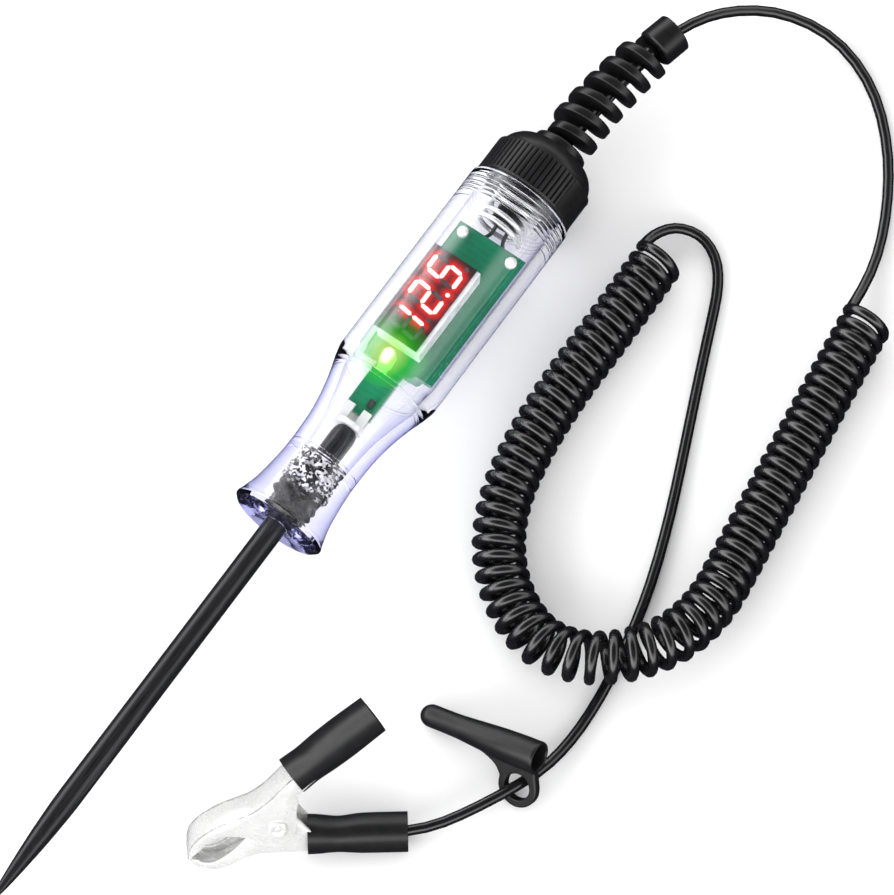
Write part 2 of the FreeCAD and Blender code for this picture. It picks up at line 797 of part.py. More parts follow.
UPPER_OUTLINE = [
    (-18.9, -8.3),
    (-15.9, -1.9, "arc"),
    (-8.4, 2.7),
    (-3.4, 6.0, "arc"),
    (2.6, 13.2),
    (9.6, 20.0),
    (12.4, 17.2),
    (5.2, 9.6),
    (3.9, 5.0, "arc"),
    (4.1, 1.0),
    (0.4, -4.3, "arc"),
    (-3.4, -3.2),
    (-11.6, -2.0, "arc"),
    (-16.6, -5.8),
]
UPPER_BACK = [
    (-18.9, -8.3),
    (-15.9, -1.9, "arc"),
    (-8.4, 2.7),
    (-3.4, 6.0, "arc"),
    (2.6, 13.2),
    (9.6, 20.0),
    (10.15, 19.45),
    (3.2, 12.65),
    (-2.95, 5.4, "arc"),
    (-8.1, 1.95),
    (-15.3, -2.45, "arc"),
    (-18.1, -8.0),
]
LOWER_OUTLINE = [
    (-19.0, -8.7),
    (-13.6, -11.9, "arc"),
    (-7.6, -9.2),
    (-2.0, -7.5, "arc"),
    (7.0, -7.3),
    (16.0, -7.3),
    (16.0, -3.9),
    (8.4, -2.6),
    (4.6, 1.4),
    (0.6, 3.4, "arc"),
    (-3.4, 0.6),
    (-6.4, -2.9),
    (-12.6, -9.7, "arc"),
    (-16.8, -8.9),
]
LOWER_BACK = [
    (-19.0, -8.7),
    (-13.6, -11.9, "arc"),
    (-7.6, -9.2),
    (-2.0, -7.5, "arc"),
    (7.0, -7.3),
    (16.0, -7.3),
    (16.0, -6.5),
    (7.0, -6.5),
    (-2.0, -6.7, "arc"),
    (-7.3, -8.45),
    (-13.5, -11.1, "arc"),
    (-18.4, -8.35),
]


# The clip's spring turns along the rivet, and where its boots and the lead's crimp start and point.
CLIP_SPRING_TURNS = (-1.45, -0.5, 0.5, 1.45)
UPPER_BOOT_START = V(2.9, 11.5, 0)
UPPER_BOOT_HEADING = V(17.0, 16.85, 0)
UPPER_BOOT_LENGTH = 23.6
LOWER_BOOT_START = V(6.8, -5.0, 0)
LOWER_BOOT_LENGTH = 21.4
CRIMP_START = V(21.6, -5.0, 0)


def make_clip():
    """The two jaws, the rivet, the spring, the crimp and the two boots."""
    place = clip_placement()
    half = size("jaw_width") / 2
    inner_half = half - size("jaw_sheet") - size("jaw_gap")
    rivet = size("rivet_radius")
    eye = Part.makeCylinder(rivet + size("rivet_gap"), 20, V(0, 0, -10))
    upper = channel(UPPER_OUTLINE, UPPER_BACK, half).cut(eye)
    lower = channel(LOWER_OUTLINE, LOWER_BACK, inner_half).cut(eye)
    shaft = Part.makeCylinder(rivet, 2 * half + 0.2, V(0, 0, -half - 0.1))
    head = size("rivet_head")
    heads = [
        Part.makeCone(rivet + head, rivet + 0.1, head, V(0, 0, half + 0.05)),
        Part.makeCone(rivet + 0.1, rivet + head, head, V(0, 0, -half - 0.05 - head)),
    ]
    wire = size("spring_coil_wire")
    leg = size("spring_leg_wire")
    winding = rivet + 0.75
    turns = [Part.makeTorus(winding, wire, V(0, 0, z)) for z in CLIP_SPRING_TURNS]
    legs = [
        Part.makeCylinder(leg, 7.4, V(2.1, -0.9, CLIP_SPRING_TURNS[0]), V(1, -0.62, 0)),
        Part.makeCylinder(leg, 5.4, V(0.4, 2.2, CLIP_SPRING_TURNS[-1]), V(0.8, 1, 0)),
    ]
    reach = CLIP_SPRING_TURNS[-1] - CLIP_SPRING_TURNS[0]
    ties = Part.makeCylinder(wire * 0.75, reach, V(-winding, 0, CLIP_SPRING_TURNS[0]))
    upper_boot = clip_boot(UPPER_BOOT_START, UPPER_BOOT_HEADING, UPPER_BOOT_LENGTH)
    lower_boot = clip_boot(LOWER_BOOT_START, V(1, 0, 0), LOWER_BOOT_LENGTH)
    crimp = Part.makeCylinder(size("crimp_radius"), size("crimp_length"), CRIMP_START, V(1, 0, 0))
    bore = Part.makeCylinder(
        size("cord_radius") + 0.02, size("crimp_length") + 1, CRIMP_START - V(0.2, 0, 0), V(1, 0, 0)
    )
    crimp = crimp.cut(bore)
    solids = {
        "clip_upper_jaw": upper.removeSplitter(),
        "clip_lower_jaw": lower.removeSplitter(),
        "clip_rivet": shaft.multiFuse(heads).removeSplitter(),
        "clip_spring": turns[0].multiFuse(turns[1:] + legs + [ties]),
        "clip_upper_boot": upper_boot,
        "clip_lower_boot": lower_boot,
        "clip_crimp": crimp,
    }
    made = []
    for label, solid in solids.items():
        piece = feature(label, solid)
        piece.Placement = place
        made.append(piece)
    return made


def clip_boot(start, direction, length):
    """A soft tube over one handle of the clip, open at both ends."""
    outer = Part.makeCylinder(size("clip_boot_radius"), length, start, direction)
    bore = size("clip_boot_radius") - size("clip_boot_wall")
    return outer.cut(Part.makeCylinder(bore, length + 2, start - direction.normalize(), direction))


# ---------------------------------------------------------------- assembly

nodes = [
    make_probe(),
    make_bond(),
    make_handle(),
    make_end_cap(),
    make_seal_ring(),
    make_board(),
    *make_display(),
    *make_segments(),
    *make_led(),
    make_terminal(),
    *make_board_parts(),
    make_spring(),
    make_spring_seat(),
    make_inner_wires(),
    make_strain_relief(),
    tube("cord_lead", LEAD, size("cord_radius")),
    tube("cord_coil", COIL, size("coil_radius")),
    tube("cord_tail", TAIL, size("cord_radius")),
    make_probe_cap(),
    *make_clip(),
]
doc.recompute()

for item in doc.Objects:
    if "Invalid" in item.State or "Error" in item.State:
        raise RuntimeError(f"{item.Label} failed: {item.State}")
os.makedirs("parts", exist_ok=True)
for node in nodes:
    shape = node.Shape
    if shape.isNull() or not shape.isValid() or not shape.Solids:
        raise RuntimeError(f"{node.Label} has no valid solid")
    reach = shape.BoundBox
    print(f"{node.Label}: {len(shape.Solids)} solids, volume {shape.Volume:.1f}, "
          f"x {reach.XMin:.2f} {reach.XMax:.2f}, y {reach.YMin:.2f} {reach.YMax:.2f}, "
          f"z {reach.ZMin:.2f} {reach.ZMax:.2f}")
    shape.exportStep(os.path.join("parts", f"{node.Label}.step"))
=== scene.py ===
"""A circuit test light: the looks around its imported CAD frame."""

import math
import random

import bmesh
import bpy
from mathutils import Matrix, Vector


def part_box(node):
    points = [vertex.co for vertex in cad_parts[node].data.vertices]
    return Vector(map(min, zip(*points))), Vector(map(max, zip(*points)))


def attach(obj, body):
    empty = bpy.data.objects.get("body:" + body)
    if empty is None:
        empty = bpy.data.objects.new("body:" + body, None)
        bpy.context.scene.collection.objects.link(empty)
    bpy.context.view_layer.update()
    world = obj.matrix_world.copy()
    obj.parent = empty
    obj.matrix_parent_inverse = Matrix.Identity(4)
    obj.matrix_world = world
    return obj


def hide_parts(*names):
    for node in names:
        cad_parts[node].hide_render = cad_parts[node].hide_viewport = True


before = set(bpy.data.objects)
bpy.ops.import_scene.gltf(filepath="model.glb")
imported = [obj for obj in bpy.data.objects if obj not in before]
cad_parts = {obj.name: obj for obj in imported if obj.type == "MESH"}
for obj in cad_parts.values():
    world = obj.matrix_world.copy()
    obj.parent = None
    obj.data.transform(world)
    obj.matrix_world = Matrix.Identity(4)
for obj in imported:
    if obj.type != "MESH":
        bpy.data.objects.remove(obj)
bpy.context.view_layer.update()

MM = 0.001
TAU = 2 * math.pi
UP = Vector((0, 0, 1))

# ---------------------------------------------------------------- places read from the frame


def middle(node):
    """The middle of a CAD node's box."""
    low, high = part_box(node)
    return (low + high) / 2


AXIS = middle("probe_shaft").z
CORD_RADIUS = 1.22 * MM
CORD_DIAMETER = 2 * CORD_RADIUS
COIL_RADIUS = 6.0 * MM
LAMP = middle("status_led")

# ---------------------------------------------------------------- camera

VIEW_AZIMUTH = math.radians(35.2)
VIEW_ELEVATION = math.radians(70)
LENS = 250
SENSOR = 36
FRAME_WIDTH = 194.9 * MM
VIEW_MIDDLE = Vector((18.5, 37.0, 6.0)) * MM
SIGHT = Vector((
    math.cos(VIEW_ELEVATION) * math.sin(VIEW_AZIMUTH),
    -math.cos(VIEW_ELEVATION) * math.cos(VIEW_AZIMUTH),
    math.sin(VIEW_ELEVATION),
))


def make_camera():
    """A long lens above the tool's right-hand side, at the angle that the tool is seen from."""
    data = bpy.data.cameras.new("camera")
    data.lens = LENS
    data.sensor_width = SENSOR
    data.clip_end = 20
    camera = bpy.data.objects.new("camera", data)
    bpy.context.scene.collection.objects.link(camera)
    camera.location = VIEW_MIDDLE + SIGHT * (FRAME_WIDTH * LENS / SENSOR)
    camera.rotation_euler = SIGHT.to_track_quat("Z", "Y").to_euler()
    bpy.context.scene.camera = camera


# ---------------------------------------------------------------- shader helpers


def add_node(tree, kind, inputs=(), **settings):
    """A new shader node with its settings, and its inputs set or linked."""
    made = tree.nodes.new("ShaderNode" + kind)
    for key, value in settings.items():
        setattr(made, key, value)
    for key, value in dict(inputs).items():
        if isinstance(value, bpy.types.NodeSocket):
            tree.links.new(value, made.inputs[key])
        else:
            made.inputs[key].default_value = value
    return made


def colour_stops(tree, value, levels):
    """A colour read from a value through two or more (position, colour) stops."""
    ramp = add_node(tree, "ValToRGB", {"Fac": value})
    elements = ramp.color_ramp.elements
    for element, (position, colour) in zip(elements, (levels[0], levels[-1])):
        element.position, element.color = position, (*colour, 1)
    for position, colour in levels[1:-1]:
        elements.new(position).color = (*colour, 1)
    return ramp.outputs["Color"]


class Shader:
    """A node material with a Principled surface and short ways to add nodes to it."""

    def __init__(self, name, **values):
        self.material = bpy.data.materials.new(name)
        self.material.use_nodes = True
        self.tree = self.material.node_tree
        self.surface = self.tree.nodes["Principled BSDF"]
        for socket, value in values.items():
            self.set(socket.replace("_", " "), value)

    def set(self, socket, value):
        """Sets a socket of the surface to a constant; a colour may leave out its alpha."""
        if isinstance(value, tuple) and len(value) == 3:
            value = (*value, 1)
        self.surface.inputs[socket].default_value = value

    def link(self, socket, output):
        """Drives a socket of the surface."""
        self.tree.links.new(output, self.surface.inputs[socket])

    def node(self, kind, inputs=(), **settings):
        """A new node in this material."""
        return add_node(self.tree, kind, inputs, **settings)

    def place(self):
        """Object coordinates, which are row coordinates in metres."""
        return self.node("TexCoord").outputs["Object"]

    def noise(self, scale, detail=3.0, rough=0.55, where=None):
        made = self.node("TexNoise", {"Scale": scale, "Detail": detail, "Roughness": rough})
        self.tree.links.new(where or self.place(), made.inputs["Vector"])
        return made.outputs["Fac"]

    def ramp(self, value, low, high, colours):
        """A colour ramp between two levels of value."""
        return self.stops(value, ((low, colours[0]), (high, colours[1])))

    def span(self, value, low, high):
        """value, from 0 to 1, mapped to low to high."""
        made = self.node("MapRange", {"Value": value, "To Min": low, "To Max": high})
        return made.outputs["Result"]

    def stops(self, value, levels):
        """A colour read from a value through (position, colour) stops."""
        return colour_stops(self.tree, value, levels)

    def mix(self, share, first, second):
        """A blend of two colours. A mix node's colours are its inputs 6 and 7 and its output 2."""
        return self.node("Mix", {"Factor": share, 6: first, 7: second}, data_type="RGBA").outputs[2]

    def falloff(self, centre, reach):
        """1 at a point, falling to 1/e at the reach and to nothing over a few times that."""
        gap = self.node("VectorMath", {0: self.place(), 1: tuple(centre)}, operation="DISTANCE")
        share = self.node("Math", {0: gap.outputs["Value"], 1: reach}, operation="DIVIDE")
        square = self.node("Math", {0: share.outputs[0], 1: share.outputs[0]}, operation="MULTIPLY")
        minus = self.node("Math", {0: square.outputs[0], 1: -1.0}, operation="MULTIPLY")
        return self.node("Math", {0: minus.outputs[0]}, operation="EXPONENT").outputs[0]

    def bump(self, height, strength, distance):
        """Small relief on the surface."""
        made = self.node("Bump", {"Height": height, "Strength": strength, "Distance": distance})
        self.link("Normal", made.outputs["Normal"])


def black_plastic(name, colour, roughness, grain=9000, strength=0.1, specular=0.4):
    """Moulded black plastic or rubber with a fine grain and uneven gloss."""
    made = Shader(name, Specular_IOR_Level=specular)
    cloud = made.noise(420, 4)
    made.link("Base Color", made.ramp(cloud, 0.3, 0.7, (colour, tuple(1.5 * c + 0.002 for c in colour))))
    made.link("Roughness", made.span(made.noise(1500, 3), roughness - 0.05, roughness + 0.07))
    made.bump(made.noise(grain, 2), strength, 0.02 * MM)
    return made.material


def cord_material():
    """Glossy black PVC, very slightly uneven along its length."""
    made = Shader("cord_pvc", Specular_IOR_Level=0.5, Coat_Weight=0.5, Coat_Roughness=0.12)
    made.link("Base Color", made.ramp(made.noise(300), 0.3, 0.7, ((0.003, 0.003, 0.0035),
                                                                  (0.008, 0.008, 0.009))))
    made.link("Roughness", made.span(made.noise(900), 0.2, 0.32))
    made.bump(made.noise(1800, 2), 0.12, 0.03 * MM)
    return made.material


def probe_material():
    """Black-oxide steel, drawn along its length and polished."""
    made = Shader("probe_black_oxide", Metallic=0.35, Specular_IOR_Level=0.6)
    stretched = made.node("Mapping", {"Vector": made.place(), "Scale": (4000, 130, 4000)})
    streak = made.noise(1.0, 4, 0.6, stretched.outputs["Vector"])
    made.link("Base Color", made.ramp(streak, 0.25, 0.8, ((0.008, 0.008, 0.009), (0.03, 0.03, 0.033))))
    made.link("Roughness", made.span(streak, 0.2, 0.38))
    made.bump(streak, 0.08, 0.01 * MM)
    return made.material


def nickel_material(name="nickel_plate", tint=(0.97, 0.97, 0.96), roughness=0.24, metallic=0.35):
    """Bright plated steel with faint rolling marks and handling wear."""
    made = Shader(name, Metallic=metallic)
    cloud = made.noise(160, 5, 0.6)
    stretched = made.node("Mapping", {"Vector": made.place(), "Scale": (150, 800, 800)})
    streak = made.noise(1.0, 3, 0.5, stretched.outputs["Vector"])
    made.link("Base Color", made.ramp(cloud, 0.3, 0.75, (tuple(0.82 * c for c in tint), tint)))
    made.link("Roughness", made.span(streak, roughness - 0.07, roughness + 0.12))
    made.bump(streak, 0.05, 0.01 * MM)
    return made.material


def clear_material():
    """Water-clear acrylic with a faint violet absorption in its depth, and violet-blue to near-black edges
    painted into its colour by the angle of view, in place of the dark surroundings seen through its edges.
    Lamps shine through it.
    """
    made = Shader("clear_acrylic", IOR=1.49, Transmission_Weight=1.0, Roughness=0.0)
    edge = made.node("LayerWeight", {"Blend": 0.5}).outputs["Facing"]
    parts = made.node("SeparateXYZ", {"Vector": made.place()})
    height = made.node("Math", {0: parts.outputs["Z"], 1: AXIS}, operation="SUBTRACT").outputs[0]
    across = made.node("CombineXYZ", {"X": parts.outputs["X"], "Y": height})
    radius = made.node("VectorMath", {0: across.outputs[0]}, operation="LENGTH").outputs["Value"]
    body = made.node("MapRange", {"Value": parts.outputs["Y"], "From Min": 36.6 * MM, "From Max": 38.4 * MM})
    bore = made.node("MapRange", {"Value": radius, "From Min": 10.0 * MM, "From Max": 9.8 * MM})
    # painted shade: these ramps keep the glass white face-on and turn its colour violet, then dark, as the
    # surface turns edge-on to the view, standing in for the dark surroundings seen through its edges
    neck_edge_shade = made.stops(edge, ((0.0, (1, 1, 1)), (0.32, (0.97, 0.97, 1)), (0.52, (0.66, 0.66, 0.93)),
                                  (0.75, (0.27, 0.27, 0.72)), (0.9, (0.1, 0.1, 0.4)),
                                  (0.97, (0.0, 0.0, 0.02))))
    body_edge_shade = made.stops(edge, ((0.0, (1, 1, 1)), (0.5, (0.98, 0.98, 1)), (0.8, (0.84, 0.84, 0.96)),
                                  (0.92, (0.5, 0.5, 0.75)), (0.98, (0.0, 0.0, 0.02))))
    bore_edge_shade = made.stops(edge, ((0.0, (1, 1, 1)), (0.5, (0.96, 0.96, 1)), (0.68, (0.5, 0.5, 0.75)),
                                  (0.85, (0.12, 0.12, 0.35))))
    outside = made.mix(body.outputs[0], neck_edge_shade, body_edge_shade)
    inside = made.mix(body.outputs[0], neck_edge_shade, bore_edge_shade)
    made.link("Base Color", made.mix(bore.outputs[0], outside, inside))
    made.link("Roughness", made.span(made.noise(260, 2), 0.0, 0.012))
    depth = made.node("VolumeAbsorption", {"Color": (0.4, 0.4, 0.93, 1), "Density": 9.0})
    output = made.tree.nodes["Material Output"]
    made.tree.links.new(depth.outputs["Volume"], output.inputs["Volume"])
    shadow = made.node("LightPath").outputs["Is Shadow Ray"]
    through = made.node("BsdfTransparent", {"Color": (0.97, 0.97, 0.99, 1)}).outputs["BSDF"]
    choice = made.node("MixShader", {"Fac": shadow, 1: made.surface.outputs["BSDF"], 2: through})
    made.tree.links.new(choice.outputs["Shader"], output.inputs["Surface"])
    return made.material


def board_material():
    """Green solder mask over faint copper tracks."""
    made = Shader("solder_mask", Specular_IOR_Level=0.6, Coat_Weight=0.4, Coat_Roughness=0.15)
    tracks = made.node("TexBrick", {"Scale": 230.0, "Mortar Size": 0.09, "Brick Width": 0.9,
                                              "Row Height": 0.35, "Vector": made.place()})
    cloud = made.noise(200, 3)
    base = made.ramp(cloud, 0.3, 0.7, ((0.001, 0.12, 0.055), (0.002, 0.15, 0.07)))
    light = made.ramp(cloud, 0.3, 0.7, ((0.0015, 0.135, 0.06), (0.003, 0.17, 0.08)))
    made.link("Base Color", made.mix(tracks.outputs["Fac"], base, light))
    made.link("Roughness", made.span(made.noise(700), 0.25, 0.4))
    made.bump(tracks.outputs["Fac"], 0.3, 0.04 * MM)
    return made.material


def crackle_material():
    """The grip sleeve's shrunken, silvery skin, which turns plain black towards the rim."""
    made = Shader("crackled_sleeve", Specular_IOR_Level=0.6)
    place = made.place()
    wander = made.node("TexNoise", {"Scale": 900.0, "Detail": 3.0, "Vector": place})
    bent_place = made.node("VectorMath", {0: wander.outputs["Color"], 1: (0.0014, 0.0014, 0.0014), 2: place},
                           operation="MULTIPLY_ADD")
    shards = made.node("TexVoronoi", {"Scale": 1500.0, "Vector": bent_place.outputs[0]})
    shade = made.node("SeparateXYZ", {"Vector": shards.outputs["Color"]}).outputs["X"]
    along = made.node("SeparateXYZ", {"Vector": place}).outputs["Y"]
    rear = made.node("MapRange", {"Value": along, "From Min": 4.5 * MM, "From Max": 10.0 * MM,
                                            "To Min": -0.75, "To Max": 0.05})
    lifted = made.node("Math", {0: shade, 1: rear.outputs[0]}, operation="ADD").outputs[0]
    made.link("Base Color", made.ramp(lifted, 0.42, 0.75, ((0.004, 0.003, 0.004), (0.85, 0.83, 0.85))))
    made.link("Metallic", made.ramp(lifted, 0.45, 0.7, ((0, 0, 0), (0.35, 0.35, 0.35))))
    made.link("Roughness", made.span(shade, 0.15, 0.5))
    made.bump(shade, 0.8, 0.5 * MM)
    return made.material


def glow_material(name, colour, strength, base):
    """A glowing piece with a faint variation in its light."""
    made = Shader(name, Roughness=0.35)
    made.set("Base Color", base)
    made.set("Emission Strength", strength)
    hot = tuple(min(1.0, 1.15 * c + 0.05) for c in colour)
    made.link("Emission Color", made.ramp(made.noise(900), 0.3, 0.7, (colour, hot)))
    return made.material


def display_material():
    """The display's dark face, with the red light that spreads from its lit bars."""
    made = Shader("display_face", Specular_IOR_Level=0.5)
    made.link("Base Color", made.ramp(made.noise(800), 0.3, 0.7, ((0.012, 0.009, 0.009),
                                                                  (0.02, 0.015, 0.015))))
    made.link("Roughness", made.span(made.noise(1600), 0.25, 0.4))
    glow = made.node("Attribute", attribute_name="glow")
    made.set("Emission Color", (1.0, 0.0, 0.0))
    made.link("Emission Strength", made.span(glow.outputs["Fac"], 0.0, 0.85))
    return made.material


def lamp_material():
    """The green lamp's lens, white-hot over its chip."""
    made = Shader("lamp_lens", Roughness=0.25)
    made.set("Base Color", (0.2, 0.8, 0.2))
    near = made.falloff(LAMP + Vector((0, 0, 1.6)) * MM, 1.15 * MM)
    made.link("Emission Color", made.ramp(near, 0.1, 0.85, ((0.02, 1.0, 0.03), (1.0, 1.0, 0.75))))
    made.link("Emission Strength", made.span(near, 2.0, 12.0))
    return made.material


def halo_material():
    """The green light that hangs over the lamp: a thin veil that fades out round it."""
    made = Shader("lamp_halo", Roughness=1.0, Specular_IOR_Level=0.0)
    near = made.falloff(LAMP + Vector((0.5, -0.7, 3.6)) * MM, 5.6 * MM)
    made.link("Alpha", made.span(near, 0.0, 0.5))
    made.set("Base Color", (0.0, 0.0, 0.0))
    made.set("Emission Strength", 1.0)
    made.link("Emission Color", made.ramp(near, 0.45, 1.0, ((0.03, 0.85, 0.01), (0.8, 1.0, 0.25))))
    return made.material


def assign(obj, material):
    """Gives a piece or a CAD node one material."""
    obj.data.materials.clear()
    obj.data.materials.append(material)


# ---------------------------------------------------------------- mesh helpers


def mesh_piece(name, verts, faces, material, smooth=True):
    """A mesh object in the row frame."""
    data = bpy.data.meshes.new(name)
    data.from_pydata([tuple(v) for v in verts], [], faces)
    data.update()
    for polygon in data.polygons:
        polygon.use_smooth = smooth
    piece = bpy.data.objects.new(name, data)
    bpy.context.scene.collection.objects.link(piece)
    data.materials.append(material)
    return piece


def rounded(points, radii, steps=5):
    """A closed or open outline with each corner of non-zero radius turned into an arc."""
    out = []
    count = len(points)
    for index, point in enumerate(points):
        radius = radii[index] if isinstance(radii, (list, tuple)) else radii
        if radius == 0 or index in (0, count - 1):
            out.append(tuple(point))
            continue
        here = Vector(point)
        back = Vector(points[index - 1]) - here
        ahead = Vector(points[index + 1]) - here
        turn = math.pi - back.angle(ahead)
        reach = min(radius * math.tan(turn / 2), 0.48 * back.length, 0.48 * ahead.length)
        start = here + back.normalized() * reach
        end = here + ahead.normalized() * reach
        for step in range(steps + 1):
            t = step / steps
            out.append(tuple(start * (1 - t) ** 2 + here * 2 * t * (1 - t) + end * t**2))
    return out


def through(points, per=8):
    """A smooth open line through the points, by Catmull-Rom."""
    spots = [Vector(p) for p in points]
    padded = [2 * spots[0] - spots[1], *spots, 2 * spots[-1] - spots[-2]]
    out = []
    for a, b, c, d in zip(padded, padded[1:], padded[2:], padded[3:]):
        for step in range(per):
            t = step / per
            out.append(0.5 * (2 * b + (c - a) * t + (2 * a - 5 * b + 4 * c - d) * t**2
                              + (3 * b - a - 3 * c + d) * t**3))
    out.append(spots[-1])
    return [tuple(p) for p in out]


def ring_faces(rings, per_ring, closed_rings=False):
    """Quads between successive rings of vertices."""
    faces = []
    last = rings if closed_rings else rings - 1
    for ring in range(last):
        base = ring * per_ring
        after = ((ring + 1) % rings) * per_ring
        for step in range(per_ring):
            other = (step + 1) % per_ring
            faces.append((base + step, base + other, after + other, after + step))
    return faces


def turned(profile, steps, centre=Vector((0, 0, 0))):
    """Rings of points about an upright line through centre. The profile is (radius, height) pairs."""
    verts = []
    for radius, height in profile:
        for step in range(steps):
            angle = TAU * step / steps
            verts.append((centre.x + radius * math.cos(angle), centre.y + radius * math.sin(angle), height))
    return verts


def lathe(name, outline, material, steps=96, closed=False, shape=None):
    """A turned piece about the tool's axis. The outline is (radius, station) pairs; a closed
    outline joins its ends. shape(angle, radius, station) may change a radius."""
    verts = []
    for radius, station in outline:
        for step in range(steps):
            angle = TAU * step / steps
            size = shape(angle, radius, station) if shape else radius
            verts.append((size * math.cos(angle), station, AXIS + size * math.sin(angle)))
    faces = [tuple(reversed(f)) for f in ring_faces(len(outline), steps, closed)]
    return mesh_piece(name, verts, faces, material)


def join_pieces(name, parts):
    """One mesh object from several."""
    bpy.ops.object.select_all(action="DESELECT")
    for part in parts:
        part.select_set(True)
    bpy.context.view_layer.objects.active = parts[0]
    bpy.ops.object.join()
    parts[0].name = name
    return parts[0]


def apply_modifiers(piece):
    """Makes the piece's modifiers part of its mesh."""
    bpy.ops.object.select_all(action="DESELECT")
    piece.select_set(True)
    bpy.context.view_layer.objects.active = piece
    for modifier in list(piece.modifiers):
        bpy.ops.object.modifier_apply(modifier=modifier.name)


def bevel(piece, width, segments=2, angle=30):
    """Rounds a piece's sharp edges."""
    modifier = piece.modifiers.new("bevel", "BEVEL")
    modifier.width = width
    modifier.segments = segments
    modifier.angle_limit = math.radians(angle)
    modifier.harden_normals = False
    return piece


def smooth_by_angle(piece, angle=40):
    """Shades flat faces flat and round ones smooth."""
    bpy.ops.object.select_all(action="DESELECT")
    piece.select_set(True)
    bpy.context.view_layer.objects.active = piece
    bpy.ops.object.shade_smooth_by_angle(angle=math.radians(angle))


def settle(piece, body, slot, *nodes):
    """Seats a finished piece on its CAD body in place of CAD nodes."""
    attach(piece, body)
    if nodes:
        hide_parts(*nodes)
    return piece


# ---------------------------------------------------------------- lead

LEAD = [
    (3.75, 140.5, 12.7),
    (5.5, 147.2, 12.5),
    (10.8, 156.8, 10.0),
    (20.0, 165.2, 5.6),
    (32.8, 168.2, 2.2),
    (46.2, 163.2, 1.35),
    (57.0, 153.0, 1.35),
    (65.0, 140.6, 1.35),
    (70.4, 127.6, 2.0),
    (72.3, 115.3, 4.0),
]
COIL = [
    (76.7, 114.6, 6.1),
    (78.3, 101.0, 6.1),
    (80.2, 85.6, 6.1),
    (82.4, 69.0, 6.1),
    (84.6, 52.6, 6.4),
    (86.6, 38.6, 8.4),
    (83.9, 25.6, 11.0),
    (74.6, 14.6, 11.0),
    (62.6, 10.9, 8.0),
    (51.4, 14.6, 6.1),
    (42.0, 22.4, 6.1),
    (35.6, 33.6, 6.1),
    (32.6, 47.8, 6.1),
    (31.4, 64.4, 6.1),
    (31.6, 82.4, 6.1),
    (31.2, 100.2, 6.1),
]
TAIL = [
    (26.6, 100.4, 5.0),
    (26.7, 105.0, 4.6),
    (29.6, 109.6, 3.6),
    (35.2, 111.4, 2.4),
    (40.8, 109.0, 1.6),
    (45.0, 103.4, 1.35),
    (48.8, 94.4, 1.35),
    (54.2, 81.6, 1.35),
    (60.4, 67.4, 1.35),
    (66.8, 52.4, 1.35),
    (72.4, 36.6, 1.35),
    (75.8, 22.2, 1.35),
    (77.8, 8.6, 1.35),
    (78.0, -2.8, 1.5),
    (76.6, -12.6, 3.95),
    (69.9, -27.4, 4.75),
    (63.65, -36.9, 4.1),
    (58.27, -41.1, 4.6),
]
TURN_POINTS = 14
TURN_GAP = 1.24
START_ANGLE = math.radians(200)
END_ANGLE = math.radians(-5)


def metres(points):
    """A route of millimetre points, in metres."""
    return [Vector(p) * MM for p in points]


def nurbs(name, points, radius=0.0, sides=4, finish=3):
    """A NURBS curve with these control points."""
    data = bpy.data.curves.new(name, "CURVE")
    data.dimensions = "3D"
    spline = data.splines.new("NURBS")
    spline.points.add(len(points) - 1)
    for spot, point in zip(spline.points, points):
        spot.co = (*point, 1)
    spline.order_u = 3
    spline.use_endpoint_u = True
    spline.resolution_u = finish
    data.resolution_u = finish
    data.bevel_depth = radius
    data.bevel_resolution = sides
    data.use_fill_caps = radius > 0
    piece = bpy.data.objects.new(name, data)
    bpy.context.scene.collection.objects.link(piece)
    return piece


def route_line(points):
    """Evenly fine points along the NURBS line of a route."""
    guide = nurbs("guide", points, finish=24)
    bpy.context.view_layer.update()
    data = bpy.data.meshes.new_from_object(guide)
    line = [v.co.copy() for v in data.vertices]
    bpy.data.meshes.remove(data)
    bpy.data.objects.remove(guide)
    return line


def helix_points(route):
    """The lead's coiled stretch: turns wound left-handed round the route's line, opening a little
    where the line bends, so that the turns never meet on the inside."""
    line = route_line(route)
    radius = (COIL_RADIUS - CORD_RADIUS) / math.cos(math.pi / TURN_POINTS)
    pitch = CORD_DIAMETER * TURN_GAP
    turned = [0.0]
    for index in range(1, len(line)):
        step = (line[index] - line[index - 1]).length
        before = line[max(index - 6, 0)]
        after = line[min(index + 6, len(line) - 1)]
        here = line[index]
        bend = (here - before).angle(after - here, 0.0) / max((after - before).length / 2, 1e-9)
        turned.append(turned[-1] + step / (pitch / (1 - bend * radius)))
    full = turned[-1]
    whole = math.floor(full) + (START_ANGLE - END_ANGLE) / TAU % 1
    points = []
    total = round(whole * TURN_POINTS)
    index = 1
    for count in range(total + 1):
        goal = full * count / total
        while index < len(turned) - 1 and turned[index] < goal:
            index += 1
        share = (goal - turned[index - 1]) / (turned[index] - turned[index - 1])
        centre = line[index - 1].lerp(line[index], share)
        ahead = line[min(index + 4, len(line) - 1)] - line[max(index - 5, 0)]
        side = UP.cross(ahead).normalized()
        top = ahead.normalized().cross(side)
        angle = START_ANGLE - TAU * whole * count / total
        points.append(centre + radius * (side * math.cos(angle) + top * math.sin(angle)))
    return points


def make_cord(material):
    """The lead in one piece, from the boot through the coil to the clip."""
    points = metres(LEAD[:-1]) + helix_points(metres(COIL)) + metres(TAIL[1:])
    cord = nurbs("lead_cord", points, CORD_RADIUS, 3)
    cord.data.materials.append(material)
    bpy.context.view_layer.update()
    line = route_line(points)
    length = sum((b - a).length for a, b in zip(line, line[1:]))
    settle(cord, "root", "cord_black", "cord_lead", "cord_coil", "cord_tail")
    return cord, length


# ---------------------------------------------------------------- handle and cap

